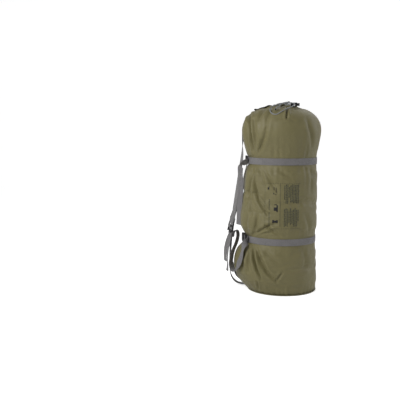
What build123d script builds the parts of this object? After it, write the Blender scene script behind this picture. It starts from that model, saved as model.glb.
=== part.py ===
"""Cylindrical carry sack with a drawcord mouth, two buckled compression straps and a two-strap shoulder harness.

Frame: origin at the centre of the flat base, +Z up, -X towards the harness. Units are millimetres.
"""
from build123d import *
import os
from math import atan2, cos, degrees, radians, sin, sqrt, tan

os.makedirs("parts", exist_ok=True)

# ---- driving dimensions -------------------------------------------------------------------------------------------
BASE_R = 129.5  # seam circle of the round base
BASE_DISC_R = 127.0
BASE_DISC_T = 3.0
PIPING_R = 2.2  # radius of the bound seam round the base
CLOTH = 1.2  # wall of the bag, two layers of coated cloth with the seam allowance
GAP = 0.3  # clearance between soft parts that lie on each other
LOAD_GAP = 0.5
LOAD_Z0 = 6.0
PANEL_Z0 = 4.8  # lower edge of the main panel, above the piping

WEBBING = 25.0  # compression and adjuster webbing
WEBBING_T = 1.5
SHOULDER = 38.0  # shoulder webbing
SHOULDER_T = 2.4

UPPER_Z = 497.0  # mid height of the compression straps
LOWER_Z = 201.0
UPPER_C, UPPER_R = -2.5, 128.5  # centre on X and radius of the bag under each strap
LOWER_C, LOWER_R = -7.0, 133.0
UPPER_BUCKLE_DEG = 184.0  # where each buckle's middle sits round the bag
LOWER_BUCKLE_DEG = 196.0
BAND = 13.5  # half height of the pinched band under a strap

HARNESS_DEG = 150.0  # middle of the harness, round the bag
PATCH_GROW = 1.9  # outer face of the harness patch, above the bag
NECK_X = -4.0  # the gathered neck of the mouth
CORD_R = 2.0

# Sections of the bag, each (height, left edge, right edge, half depth), between the pinched bands.
BELLY = [(PANEL_Z0, -131, 129, 130), (22, -151, 131, 133), (58, -173, 129.5, 138), (95, -182, 127.5, 141),
         (133, -178, 127, 140), (163, -164, 127, 137), (LOWER_Z - BAND, -140, 126, LOWER_R)]
WAIST = [(LOWER_Z + BAND, -140, 126, LOWER_R), (235, -153, 127, 137), (270, -160, 128, 139), (310, -158, 127.5, 138),
         (350, -151, 127, 136), (400, -146, 127, 136), (450, -144, 127, 134), (UPPER_Z - BAND, -131, 126, UPPER_R)]
CROWN = [(UPPER_Z + BAND, -131, 126, UPPER_R), (540, -141, 129, 133), (580, -151, 135, 140), (615, -154, 138, 143),
         (640, -147, 132, 138), (662, -133, 117, 126), (680, -108, 92, 104), (692, -76, 62, 76), (699, -42, 33, 42)]
CROWN_TOP = 699.0
CROWN_LIFT_FROM = 600.0  # above this height a grown envelope also grows upwards


# ---- shape helpers --------------------------------------------------------------------------------------------------
def section(row, grow):
    z, left, right, depth = row
    lift = grow * min(1.0, max(0.0, (z - CROWN_LIFT_FROM) / (CROWN_TOP - CROWN_LIFT_FROM)))
    centre = (left + right) / 2
    return Pos(centre, 0, z + lift) * Ellipse((right - left) / 2 + grow, depth + grow)


def stretch(rows, grow):
    """A smooth closed stretch of the bag through its sections."""
    return loft([section(row, grow) for row in rows])


def band(z, centre, radius, grow):
    return Pos(centre, 0, z) * Cylinder(radius + grow, 2 * BAND)


def envelope(grow):
    """The outer shape of the filled bag, grown or shrunk by a wall."""
    return (stretch(BELLY, grow) + band(LOWER_Z, LOWER_C, LOWER_R, grow) + stretch(WAIST, grow)
            + band(UPPER_Z, UPPER_C, UPPER_R, grow) + stretch(CROWN, grow))


def skin(inner, outer):
    """A layer lying on the bag, from one growth to another."""
    return envelope(outer) - envelope(inner)


def catmull(a, b, c, d, t):
    """A point between b and c on the smooth line through four points."""
    return (2 * b + (c - a) * t + (2 * a - 5 * b + 4 * c - d) * t * t + (3 * b - a - 3 * c + d) * t ** 3) * 0.5


def webbing(route, width, thick, per_span=4):
    """Flat webbing along a smooth line: a ruled loft of thin rectangles. Each row of the route is a point and the
    direction of the width there."""
    points = [Vector(*p) for p, _ in route]
    sides = [Vector(*w) for _, w in route]
    points = [points[0] * 2 - points[1], *points, points[-1] * 2 - points[-2]]
    centres, widths = [], []
    for k in range(len(route) - 1):
        for i in range(per_span):
            t = i / per_span
            centres.append(catmull(*points[k:k + 4], t))
            widths.append(sides[k] * (1 - t) + sides[k + 1] * t)
    centres.append(points[-2])
    widths.append(sides[-1])
    faces = []
    for i, centre in enumerate(centres):
        ahead = centres[min(i + 1, len(centres) - 1)] - centres[max(i - 1, 0)]
        along = ahead.normalized()
        across = (widths[i] - along * widths[i].dot(along)).normalized()
        out = along.cross(across)
        corners = [centre + across * (width / 2 * a) + out * (thick / 2 * b)
                   for a, b in ((-1, -1), (1, -1), (1, 1), (-1, 1))]
        faces.append(make_face(Polyline(*corners, close=True)))
    return loft(faces, ruled=True)


def tube(route, radius):
    """A round cord along straight runs joined by tangent arcs, each as large as its runs allow."""
    points = [Vector(*p) for p in route]
    radii = []
    for a, b, c in zip(points, points[1:], points[2:]):
        turn = radians((b - a).get_angle(c - b))
        radii.append(0.45 * min((b - a).length, (c - b).length) / tan(turn / 2))
    print("cord radii", [round(r, 1) for r in radii])
    path = FilletPolyline(*points, radius=radii)
    face = Plane(origin=points[0], z_dir=points[1] - points[0]) * Circle(radius)
    made = sweep(face, path=path)
    print("cord length", round(path.length, 1))
    return made


def rounded_box(x0, x1, width, thick, radius):
    """A box from x0 to x1 with rounded upright edges, centred on the other two axes."""
    shape = Pos((x0 + x1) / 2, 0, 0) * Box(x1 - x0, width, thick)
    return fillet(shape.edges().filter_by(Axis.Z), radius)


def slot(x0, x1, width, thick):
    return Pos((x0 + x1) / 2, 0, 0) * Box(x1 - x0, width, thick)


def write(name, shape):
    export_step(shape, f"parts/{name}.step")


# ---- bag, base and load ---------------------------------------------------------------------------------------------
def build_bag():
    outer = envelope(0)
    inner = envelope(-CLOTH)
    below = Pos(0, 0, PANEL_Z0) * Cylinder(BASE_R - CLOTH, 8)
    neck = Pos(NECK_X, 0, 704.5) * Cylinder(15, 13)
    panel = outer - inner - below + neck
    write("main_panel", panel)
    room = Pos(0, 0, (LOAD_Z0 + CROWN_TOP) / 2) * Box(400, 400, CROWN_TOP - LOAD_Z0)
    write("packed_load", envelope(-CLOTH - LOAD_GAP) & room)
    write("base_disc", Pos(0, 0, BASE_DISC_T / 2) * Cylinder(BASE_DISC_R, BASE_DISC_T))
    seam = Pos(0, 0, PIPING_R + 0.1) * Torus(BASE_R, PIPING_R)
    for lower in (NEAR_LOWER, FAR_LOWER):
        seam -= webbing(lower, WEBBING, WEBBING_T)
    write("base_piping", seam)


# ---- gathered mouth -------------------------------------------------------------------------------------------------
CHANNEL_R, CHANNEL_Z = 20.0, 706.5
CHANNEL_TUBE, CHANNEL_BORE = 4.2, 2.3
MOUTH_EXIT_DEG = -51.0  # where the cord leaves the channel
MOUTH_EXIT_HALF = 32.0
EXIT_RUN = 9.0
LOCK_POS = (38.0, -52.0, 705.0)  # crossing of the strands and the barrel
LOCK_X0, LOCK_X1 = -13.0, 11.0  # ends of the barrel, from the crossing
LOCK_R, LOCK_BORE_R, LOCK_FLOOR = 7.5, 5.2, 1.6
LOCK_TRAVEL = 4.6
BUTTON_X0, BUTTON_X1 = -5.0, LOCK_X1 + LOCK_TRAVEL + 0.4
STRAND_HALF = 2.15  # the two strands lie one above the other


def ring_sector(radius, tube_radius, start, sweep_deg):
    """Part of a torus round the neck, from an angle through a sweep."""
    profile = Plane.XZ * Pos(radius, 0) * Circle(tube_radius)
    return Pos(NECK_X, 0, CHANNEL_Z) * Rot(0, 0, start) * revolve(profile, Axis.Z, sweep_deg)


def build_mouth():
    start = MOUTH_EXIT_DEG + MOUTH_EXIT_HALF
    turn = 360 - 2 * MOUTH_EXIT_HALF
    channel = ring_sector(CHANNEL_R, CHANNEL_TUBE, start, turn) - ring_sector(CHANNEL_R, CHANNEL_BORE, start, turn)
    write("drawcord_channel", channel)
    eyelets = []
    for side in (1, -1):
        angle = MOUTH_EXIT_DEG + side * (MOUTH_EXIT_HALF - 3)
        ring = Cylinder(4.2, 1.6) - Cylinder(2.7, 1.6)
        spot = Pos(NECK_X, 0, CHANNEL_Z) * Rot(0, 0, angle) * Pos(CHANNEL_R, 0, 0) * Rot(90, 0, 0)
        eyelets.append(spot * ring)
    write("mouth_eyelets", Compound(children=eyelets))

    fan = make_face(Polyline((-12, -6), (-40, -14), (-75, -16), (-100, -8), (-108, 12), (-98, 44), (-72, 66),
                             (-30, 50), (-8, 13), close=True))
    fan = fillet(fan.vertices(), 6)
    wide = Pos(0, 0, 640) * extrude(fan, 90)
    core = Pos(0, 0, 640) * extrude(offset(fan, -4.0), 90)
    channel_room = Pos(NECK_X, 0, 690) * Cylinder(25, 43)
    write("mouth_collar", (skin(0.5, 11) & core) - channel_room)
    write("collar_binding", (skin(0.5, 12) & (wide - core)) - channel_room)


def build_cord_lock():
    """Barrel lock: the two strands cross it along Y, the button moves along X against a spring."""
    place = Pos(*LOCK_POS)
    middle = (LOCK_X0 + LOCK_X1) / 2
    body = Pos(middle, 0, 0) * Rot(0, 90, 0) * Cylinder(LOCK_R, LOCK_X1 - LOCK_X0)
    body = fillet(body.edges(), 1.2)
    bore_x0 = LOCK_X0 + LOCK_FLOOR
    bore = Pos((bore_x0 + LOCK_X1) / 2, 0, 0) * Rot(0, 90, 0) * Cylinder(LOCK_BORE_R, LOCK_X1 - bore_x0)
    write("cord_lock_body", place * (body - bore - Box(5.2, 30, 9.6)))
    stem_r = LOCK_BORE_R - 0.2
    stem = Pos((BUTTON_X0 + BUTTON_X1) / 2, 0, 0) * Rot(0, 90, 0) * Cylinder(stem_r, BUTTON_X1 - BUTTON_X0)
    head = Pos(BUTTON_X1 + 1.8, 0, 0) * Rot(0, 90, 0) * Cylinder(6.0, 3.6)
    head = fillet(head.edges().sort_by(Axis.X)[-1:], 1.2)
    window_x0, window_x1 = -2.6, 2.6 + LOCK_TRAVEL
    window = Pos((window_x0 + window_x1) / 2, 0, 0) * Box(window_x1 - window_x0, 30, 9.6)
    write("cord_lock_button", place * (stem + head - window))
    wire_r = 0.3
    helix = Pos(bore_x0 + wire_r + 0.1, 0, 0) * Rot(0, 90, 0) * Helix(1.3, BUTTON_X0 - bore_x0 - 4 * wire_r, 3.6)
    write("cord_lock_spring", place * sweep(Plane(origin=helix @ 0, z_dir=helix % 0) * Circle(wire_r), path=helix))


# Free loop of the drawcord, from the lower hole of the lock round and back to the upper one.
LOOP_ROUTE = [(38, -60, 702.85), (38, -75, 702.85), (28, -92, 696), (9, -104, 689), (-8, -116, 679),
              (-24, -127, 667.5), (-41, -122, 669), (-51, -107, 682), (-46, -89, 695), (-28, -78, 704),
              (-6, -73, 707.5), (12, -73, 710.5), (27, -79, 711.5), (38, -75, 707.15), (38, -60, 707.15)]
TAIL_A_ROUTE = [(-8, -66, 709), (-2, -56, 711.5), (8, -49, 713.5), (16, -38, 715)]
TAIL_B_ROUTE = [(-15, -83, 702.5), (-17, -92, 698.5), (-24, -100, 694.5), (-28, -110, 688)]
KNOT_POS, KNOT_R = (-12, -75, 706), 6.5


def lock_strand(side):
    """One end of the hem cord, from the channel through the lock."""
    angle = radians(MOUTH_EXIT_DEG + side * MOUTH_EXIT_HALF)
    root = Vector(NECK_X + CHANNEL_R * cos(angle), CHANNEL_R * sin(angle), CHANNEL_Z)
    along = Vector(sin(angle), -cos(angle), 0) * side
    lock_x, lock_y, lock_z = LOCK_POS
    height = side * STRAND_HALF
    bend = root + along * EXIT_RUN + Vector(0, 0, height)
    before, beyond = (lock_x, lock_y + 14, lock_z + height), (lock_x, lock_y - 8, lock_z + height)
    return tube([root, bend, before, beyond], CORD_R)


def build_cords():
    write("hem_cord", ring_sector(CHANNEL_R, CORD_R, MOUTH_EXIT_DEG + MOUTH_EXIT_HALF, 360 - 2 * MOUTH_EXIT_HALF))
    write("lock_strand_upper", lock_strand(1))
    write("lock_strand_lower", lock_strand(-1))
    for name, route in (("draw_cord", LOOP_ROUTE), ("cord_tail_a", TAIL_A_ROUTE), ("cord_tail_b", TAIL_B_ROUTE)):
        write(name, tube(route, CORD_R))
    write("cord_knot", Pos(*KNOT_POS) * Sphere(KNOT_R))
    tips = []
    for route in (TAIL_A_ROUTE, TAIL_B_ROUTE):
        end, before = Vector(*route[-1]), Vector(*route[-2])
        tips.append(Plane(origin=end, z_dir=end - before) * Pos(0, 0, 3.6) * Cylinder(2.6, 7))
    write("cord_tips", Compound(children=tips))


# ---- side-release buckle, in its own frame: X along the strap from the socket's bar, Y across it, Z outwards --------
BUCKLE_MID = 30.0  # distance from the socket's outer end to the middle of the closed buckle
BUCKLE_LIFT = 8.0  # middle plane above the bag
SOCKET_LEN, SOCKET_W, SOCKET_T = 34.0, 33.0, 9.0
CAVITY_W, CAVITY_T = 27.4, 5.6
BAR_T = 4.0
SLOT_W = 26.5
LATCH_START, LATCH_END = 34.4, 60.0
LATCH_T = 8.0


def buckle_socket():
    shape = rounded_box(0, SOCKET_LEN, SOCKET_W, SOCKET_T, 3.5)
    shape = fillet(shape.edges().filter_by(Plane.XY), 1.2)
    shape -= slot(10, SOCKET_LEN + 1, CAVITY_W, CAVITY_T)
    shape -= slot(14, 27, SOCKET_W + 2, CAVITY_T)
    shape -= slot(3.5, 8, SLOT_W, SOCKET_T + 1)
    for side in (1, -1):
        shape -= Pos(1, 0, side * (BAR_T + SOCKET_T) / 2) * Box(5.2, SLOT_W, SOCKET_T)
    return shape


def buckle_latch():
    shape = rounded_box(LATCH_START, LATCH_END, 32, LATCH_T, 2.5)
    shape = fillet(shape.edges().filter_by(Plane.XY), 1.0)
    shape -= slot(39.5, 44.5, SLOT_W, LATCH_T + 1)
    shape -= slot(49, 54, SLOT_W, LATCH_T + 1)
    for side in (1, -1):
        shape -= Pos(46.75, 0, side * (BAR_T + LATCH_T) / 2) * Box(5, SLOT_W, LATCH_T)
    shape -= Pos(57, 0, -LATCH_T / 2 - 0.4) * Box(8, SLOT_W, 3.6)
    guide = rounded_box(15, LATCH_START + 1, 8, BAR_T, 2)
    return shape + guide


def buckle_prongs():
    """The latch's two spring arms, whose shoulders stand in the socket's side windows."""
    arms = []
    for side in (1, -1):
        outline = Polyline((34.4, 8.9), (34.4, 12.7), (28.5, 13.0), (26.5, 13.2), (26.2, 15.4), (23, 15.7),
                           (18, 13.6), (15, 10.6), (15, 8.4), (19, 9.6), (27, 10.0), close=True)
        arm = extrude(make_face(outline), 4.6 / 2, both=True)
        arms.append(arm if side == 1 else mirror(arm, Plane.XZ))
    return Compound(children=arms)


def buckle_plane(centre_x, radius, angle_deg, z):
    """The buckle's frame: its middle is tangent to the bag at the given angle."""
    a = radians(angle_deg)
    along, out = Vector(-sin(a), cos(a), 0), Vector(cos(a), sin(a), 0)
    middle = Vector(centre_x, 0, z) + out * (radius + BUCKLE_LIFT)
    return Plane(origin=middle - along * BUCKLE_MID, x_dir=along, z_dir=out)


def traced(plane, points, radii, width=WEBBING, thick=WEBBING_T):
    """Webbing threaded round bars: a thick line in the buckle's X-Z plane, as wide as the webbing."""
    line = FilletPolyline(*points, radius=radii)
    face = trace(line, line_width=thick)
    return plane * (Rot(90, 0, 0) * extrude(face, width / 2, both=True))


def tangent_spot(radius, bar):
    """Where webbing pulled straight from a bar meets the strap's circle, both in the buckle's X-Z plane."""
    centre_z = -BUCKLE_LIFT - radius
    lay = radius + GAP + WEBBING_T / 2
    dx, dz = bar[0] - BUCKLE_MID, bar[1] - centre_z
    reach = sqrt(dx * dx + dz * dz)
    angle = atan2(dz, dx)
    spread = atan2(sqrt(reach * reach - lay * lay), lay)
    turn = angle - spread if dx > 0 else angle + spread
    return (BUCKLE_MID + lay * cos(turn), centre_z + lay * sin(turn)), abs(degrees(turn) - 90)


def build_strap(name, centre_x, radius, angle_deg, z, tail):
    plane = buckle_plane(centre_x, radius, angle_deg, z)
    write(f"{name}_socket", plane * buckle_socket())
    write(f"{name}_latch", plane * buckle_latch())
    write(f"{name}_latch_prongs", plane * buckle_prongs())

    socket_bar, latch_bar = (-4.0, -3.05), (62.0, -6.0)
    socket_spot, socket_turn = tangent_spot(radius, socket_bar)
    latch_spot, latch_turn = tangent_spot(radius, latch_bar)
    lay = radius + GAP + WEBBING_T / 2
    arc = CenterArc((centre_x, 0), lay, angle_deg + latch_turn, 360 - latch_turn - socket_turn)
    ring = Pos(0, 0, z - WEBBING / 2) * extrude(trace(arc, line_width=WEBBING_T), WEBBING)
    write(f"{name}_strap", ring)

    fold = [socket_spot, socket_bar, (4.6, -3.05), (4.6, 3.05), (-4.0, 3.05), (-13.0, -4.4)]
    write(f"{name}_socket_loop", traced(plane, fold, [12, 1.2, 1.2, 6]))
    lead = [latch_spot, latch_bar, (43.3, -5.0), (43.3, 3.05), (50.2, 3.05), (50.2, -3.0), (53.5, -3.45),
            (61.5, -3.6)]
    write(f"{name}_strap_lead", traced(plane, lead, [20, 1.2, 1.2, 1.2, 1.0, 3]))

    tail_start = [(tuple(plane.from_local_coords(spot)), (0, 0, 1)) for spot in ((62, 0, -3.6), (67.5, 0, -3.8))]
    write(f"{name}_strap_tail", webbing(tail_start + tail, WEBBING, WEBBING_T))

    pads = []
    for spot in KEEPER_DEGS:
        arch = Pos(centre_x, 0, z) * (Cylinder(radius + 4.2, 50) - Cylinder(radius + 2.6, 50))
        feet = Pos(centre_x, 0, z) * (Cylinder(radius + 2.8, 50) - Cylinder(radius + GAP, 50)
                                      - (Cylinder(radius + 9, WEBBING + 1.2)))
        sector = Pos(centre_x, 0, z) * Rot(0, 0, spot) * Pos(radius, 0, 0) * Box(40, 20, 46)
        pads.append((arch + feet) & sector)
    keepers = [(pad - envelope(GAP)) for pad in pads]
    write(f"{name}_strap_keepers", Compound(children=keepers))


KEEPER_DEGS = (48.0, 108.0)

# Hanging tails of the compression straps, each row a point and the direction of the webbing's width. Each starts
# where its webbing comes out of the latch.
UPPER_TAIL = [((-136, -53, 494), (0.1, -0.35, 1)), ((-148, -56, 487), (0.3, -0.4, 0.85)),
              ((-158, -53, 474), (0.6, -0.5, 0.6)), ((-160, -46, 450), (0.75, -0.65, 0.15)),
              ((-158, -40, 400), (0.8, -0.6, 0)), ((-161, -36, 340), (0.8, -0.6, 0)),
              ((-164, -33, 290), (0.75, -0.65, 0)), ((-166, -31, 250), (0.75, -0.65, 0))]
LOWER_TAIL = [((-131, -82, 196), (0.05, -0.1, 1)), ((-142, -91, 180), (-0.4, 0.6, 0.5)),
              ((-147, -90, 160), (-0.4, 0.9, 0)), ((-152, -92, 135), (-0.6, 0.8, 0)), ((-160, -92, 112), (-0.7, 0.7, 0)),
              ((-170, -84, 92), (-0.3, 0.95, 0)), ((-180, -70, 80), (0.2, 0.95, 0)),
              ((-189, -52, 84), (0.4, 0.9, 0)), ((-194, -37, 100), (0.5, 0.85, 0)),
              ((-192, -27, 125), (0.5, 0.85, 0)), ((-186, -22, 150), (0.5, 0.85, 0)),
              ((-175, -19, 178), (0.5, 0.85, 0)), ((-169, -16, 205), (0.45, 0.9, 0)),
              ((-172, -13, 222), (0.4, 0.9, 0)), ((-181, -11, 224), (0.4, 0.9, 0)),
              ((-188, -10, 212), (0.4, 0.9, 0)), ((-190, -10, 198), (0.4, 0.9, 0))]


# ---- shoulder harness -----------------------------------------------------------------------------------------------
def heading(deg):
    """Horizontal direction of a strap's width, from the way that the strap faces."""
    a = radians(deg)
    return (-sin(a), cos(a), 0)


NEAR_FACE, FAR_FACE = 203.0, 211.0  # direction that the outer face of each shoulder strap looks
NEAR_LOCK, FAR_LOCK = (-193.0, 16.0, 246.0), (-201.0, 56.0, 248.0)  # top of each ladder lock
NEAR_SHOULDER = [((-150.4, 43, 628), heading(163)), ((-154, 40.5, 600), heading(166)), ((-157, 36, 560), heading(180)),
                 ((-158, 32, 515), heading(195)), ((-164, 28, 465), heading(200)), ((-171, 24, 410), heading(203)),
                 ((-179, 21, 355), heading(203)), ((-186, 18, 305), heading(203)), ((-190.5, 16.5, 262), heading(NEAR_FACE))]
FAR_SHOULDER = [((-115.6, 101.6, 628), heading(137)), ((-119, 102.4, 600), heading(140)), ((-127, 101, 560), heading(152)),
                ((-136, 97, 510), heading(175)), ((-146, 91, 455), heading(190)), ((-156, 84, 400), heading(200)),
                ((-169, 75, 350), heading(205)), ((-184, 66, 305), heading(210)), ((-197, 58, 264), heading(FAR_FACE))]
NEAR_LOWER = [((-197.4, 14.1, 197), heading(NEAR_FACE)), ((-199, 15, 170), heading(202)), ((-201, 17, 140), heading(198)),
              ((-203, 19, 110), heading(192)), ((-204, 21, 80), heading(187)), ((-201, 23, 52), heading(182)),
              ((-192, 25, 28), heading(178)), ((-176, 28, 12), heading(174)), ((-157, 31, 5.6), heading(170)),
              ((-140, 33, 4.2), heading(167)), ((-123.5, 31, 3.9), heading(166))]
FAR_LOWER = [((-205.1, 53.5, 199), heading(FAR_FACE)), ((-205, 56, 170), heading(206)), ((-204, 61, 140), heading(198)),
             ((-201, 67, 110), heading(188)), ((-196, 73, 80), heading(176)), ((-189, 80, 52), heading(165)),
             ((-178, 87, 28), heading(156)), ((-161, 93, 12), heading(150)), ((-142, 95, 5.6), heading(146)),
             ((-122, 88, 4.2), heading(143)), ((-101, 76, 3.9), heading(143))]
NEAR_TAIL = [((-199.3, 13.3, 197), heading(NEAR_FACE)), ((-206, 9, 172), heading(202)),
             ((-210, 4, 142), heading(198)), ((-211, 0, 112), heading(192)), ((-210, -2, 84), heading(196)),
             ((-211, -3, 62), heading(205))]
FAR_TAIL = [((-206.8, 52.5, 199), heading(FAR_FACE)), ((-215, 46, 174), heading(215)), ((-221, 41, 146), heading(215)),
            ((-223, 39, 118), heading(212)), ((-222, 40, 92), heading(210))]


def lock_plane(top, face_deg):
    """A ladder lock's frame: X down the strap, Z outwards."""
    a = radians(face_deg)
    return Plane(origin=top, x_dir=(cos(a) * 0.22, sin(a) * 0.22, -1), z_dir=(cos(a), sin(a), 0.22))


def ladder_lock():
    """Frame with a bar for the strap's loop, a toothed middle bar and a raised lever at the lower end."""
    shape = rounded_box(0, 31, 32, 5, 3)
    shape -= slot(4.2, 9.2, SLOT_W, 8)
    shape -= slot(12.6, 17.2, SLOT_W, 8)
    shape -= slot(20.8, 25.4, SLOT_W, 8)
    for x0, x1 in ((-1, 4.2), (17.2, 20.8)):
        for side in (1, -1):
            shape -= Pos((x0 + x1) / 2, 0, side * 3.75) * Box(x1 - x0 + 0.2, SLOT_W, 4.3)
    lever = Pos(30.2, 0, 3.2) * Rot(0, -24, 0) * Box(10, 24, 2.2)
    shape += lever
    shape -= Pos(28.5, 0, -3.4) * Box(12, SLOT_W, 4.4)
    return shape


def build_shoulder(name, top, face_deg, shoulder, lower, tail):
    plane = lock_plane(top, face_deg)
    write(f"{name}_shoulder_strap", webbing(shoulder, SHOULDER, SHOULDER_T))
    write(f"{name}_ladder_lock", plane * ladder_lock())
    loop = [(-22, -3.2), (-8, -2.65), (5.3, -2.65), (5.3, 2.65), (-8, 2.65), (-22, 3.2)]
    loop_webbing = traced(plane, loop, [6, 1.1, 1.1, 6])
    write(f"{name}_lock_loop", loop_webbing - webbing(shoulder, SHOULDER + 1, SHOULDER_T + 0.5))
    fold = [(48, -5.6), (24, -4.2), (15.2, -4.2), (15.2, 2.75), (22.3, 2.75), (22.3, -2.2), (27, -2.4), (48, -3.6)]
    write(f"{name}_adjuster_fold", traced(plane, fold, [8, 1.2, 1.1, 1.1, 1.0, 4]))
    write(f"{name}_lower_webbing", webbing(lower, WEBBING, WEBBING_T))
    write(f"{name}_adjuster_tail", webbing(tail, WEBBING, WEBBING_T))


def build_patch():
    """Reinforcement sewn on the bag, which both shoulder straps start from."""
    a = radians(HARNESS_DEG)
    block = Pos(-8 + 150 * cos(a), 150 * sin(a), 628) * Rot(0, 0, HARNESS_DEG) * Box(90, 130, 46)
    write("harness_patch", skin(GAP, PATCH_GROW) & block)


build_bag()
build_mouth()
build_cord_lock()
build_cords()
build_strap("upper", UPPER_C, UPPER_R, UPPER_BUCKLE_DEG, UPPER_Z, UPPER_TAIL)
build_strap("lower", LOWER_C, LOWER_R, LOWER_BUCKLE_DEG, LOWER_Z, LOWER_TAIL)
build_patch()
build_shoulder("near", NEAR_LOCK, NEAR_FACE, NEAR_SHOULDER, NEAR_LOWER, NEAR_TAIL)
build_shoulder("far", FAR_LOCK, FAR_FACE, FAR_SHOULDER, FAR_LOWER, FAR_TAIL)
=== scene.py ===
"""Filled carry sack with a drawcord mouth, compression straps and a shoulder harness."""

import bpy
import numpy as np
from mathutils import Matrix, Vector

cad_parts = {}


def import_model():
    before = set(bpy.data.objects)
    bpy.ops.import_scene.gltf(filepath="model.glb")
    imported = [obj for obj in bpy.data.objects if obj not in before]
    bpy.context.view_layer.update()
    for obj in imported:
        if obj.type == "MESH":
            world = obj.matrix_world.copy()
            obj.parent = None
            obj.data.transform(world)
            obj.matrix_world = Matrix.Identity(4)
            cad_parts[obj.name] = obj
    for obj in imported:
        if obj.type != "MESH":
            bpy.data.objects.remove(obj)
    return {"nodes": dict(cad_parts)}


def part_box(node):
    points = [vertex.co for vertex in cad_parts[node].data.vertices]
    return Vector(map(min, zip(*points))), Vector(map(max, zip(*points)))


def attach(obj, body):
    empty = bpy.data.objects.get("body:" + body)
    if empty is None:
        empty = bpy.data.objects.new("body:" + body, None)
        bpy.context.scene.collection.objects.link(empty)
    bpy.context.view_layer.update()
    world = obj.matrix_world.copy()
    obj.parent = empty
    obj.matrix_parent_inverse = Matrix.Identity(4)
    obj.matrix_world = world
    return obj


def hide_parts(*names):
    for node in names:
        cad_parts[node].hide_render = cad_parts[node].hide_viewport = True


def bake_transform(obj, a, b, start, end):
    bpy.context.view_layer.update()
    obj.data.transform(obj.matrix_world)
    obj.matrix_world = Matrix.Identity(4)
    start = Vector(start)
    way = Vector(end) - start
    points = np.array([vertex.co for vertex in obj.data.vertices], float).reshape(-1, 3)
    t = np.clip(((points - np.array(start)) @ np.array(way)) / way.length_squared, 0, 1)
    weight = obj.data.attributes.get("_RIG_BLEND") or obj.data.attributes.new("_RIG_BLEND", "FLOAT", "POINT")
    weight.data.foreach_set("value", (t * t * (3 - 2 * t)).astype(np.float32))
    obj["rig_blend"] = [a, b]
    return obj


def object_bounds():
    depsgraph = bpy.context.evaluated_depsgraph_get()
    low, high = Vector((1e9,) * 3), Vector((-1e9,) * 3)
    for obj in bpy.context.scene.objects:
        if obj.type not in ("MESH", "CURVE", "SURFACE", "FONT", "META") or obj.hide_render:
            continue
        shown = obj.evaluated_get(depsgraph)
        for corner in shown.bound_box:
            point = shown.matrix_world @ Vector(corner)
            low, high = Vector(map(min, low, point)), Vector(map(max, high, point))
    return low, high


bl_info = {
    "name": "Carry Sack",
    "version": (1, 0, 0),
    "blender": (4, 5, 0),
    "location": "View3D > Sidebar > Carry Sack",
    "description": "Makes the cloth, webbing, cords and fittings of a filled carry sack on its packed frame",
    "category": "Add Mesh",
}

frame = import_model()

from math import atan2, ceil, cos, exp, hypot, pi, radians, sin, sqrt, tan
from random import Random

import bmesh
import bpy
from bpy.props import FloatProperty, FloatVectorProperty, IntProperty, PointerProperty
from mathutils import Matrix, Vector, noise
from mathutils.bvhtree import BVHTree

CAD_BOX = [list(corner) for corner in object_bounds()]

# ---- places worked out from the frame, in metres --------------------------------------------------------
SEAM_LOW, SEAM_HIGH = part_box("base_piping")
SEAM_TUBE = (SEAM_HIGH.z - SEAM_LOW.z) / 2
SEAM_R = SEAM_HIGH.y - SEAM_TUBE
CHANNEL_LOW, CHANNEL_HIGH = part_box("drawcord_channel")
CHANNEL_TUBE = (CHANNEL_HIGH.z - CHANNEL_LOW.z) / 2
CHANNEL_Z = (CHANNEL_HIGH.z + CHANNEL_LOW.z) / 2
NECK = Vector((-0.004, 0, 0))
CHANNEL_R = NECK.x - CHANNEL_LOW.x - CHANNEL_TUBE
MOUTH_EXIT_DEG, MOUTH_EXIT_HALF = -51.0, 32.0

WEBBING, WEBBING_T = 0.025, 0.0015
SHOULDER, SHOULDER_T = 0.038, 0.0024
CORD = 0.004
GAP = 0.0003
BUCKLE_MID, BUCKLE_LIFT = 0.030, 0.008


class Strap:
    """A compression strap: its circle round the bag and the frame of its buckle."""

    def __init__(self, name, buckle_deg):
        low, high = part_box(f"{name}_strap")
        self.name = name
        self.lay = (high.y - low.y) / 2 - WEBBING_T / 2
        self.centre = Vector((high.x - WEBBING_T / 2 - self.lay, 0, (low.z + high.z) / 2))
        self.bag_r = self.lay - WEBBING_T / 2 - GAP
        turn = radians(buckle_deg)
        along, out = side_at(turn), ray_at(turn)
        middle = self.centre + out * (self.bag_r + BUCKLE_LIFT)
        self.turn = turn
        self.plane = frame_matrix(middle - along * BUCKLE_MID, along, out)

    def tangent_spot(self, bar):
        """Where webbing pulled straight from a bar meets the strap's circle, in the buckle's X-Z plane,
        and the circle's turn from the buckle's middle to there."""
        centre_z = -BUCKLE_LIFT - self.bag_r
        dx, dz = bar[0] - BUCKLE_MID, bar[1] - centre_z
        reach = hypot(dx, dz)
        spread = atan2(sqrt(reach * reach - self.lay * self.lay), self.lay)
        turn = atan2(dz, dx) + (-spread if dx > 0 else spread)
        return (BUCKLE_MID + self.lay * cos(turn), centre_z + self.lay * sin(turn)), abs(turn - pi / 2)


def frame_matrix(origin, x_dir, z_dir):
    """A place with the given X and Z directions."""
    x = Vector(x_dir).normalized()
    y = Vector(z_dir).cross(x).normalized()
    z = x.cross(y)
    return Matrix.Translation(origin) @ Matrix((x, y, z)).transposed().to_4x4()


def ray_at(angle):
    """The horizontal direction at an angle."""
    return Vector((cos(angle), sin(angle), 0))


def side_at(angle):
    """The horizontal direction across the one at an angle."""
    return Vector((-sin(angle), cos(angle), 0))


def clamped(value):
    """A value kept between 0 and 1."""
    return min(1.0, max(0.0, value))


def faced(rows):
    """A webbing route from its points, each with the way that the webbing faces, in degrees."""
    return [((x, y, z), side_at(radians(deg))) for x, y, z, deg in rows]


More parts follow.
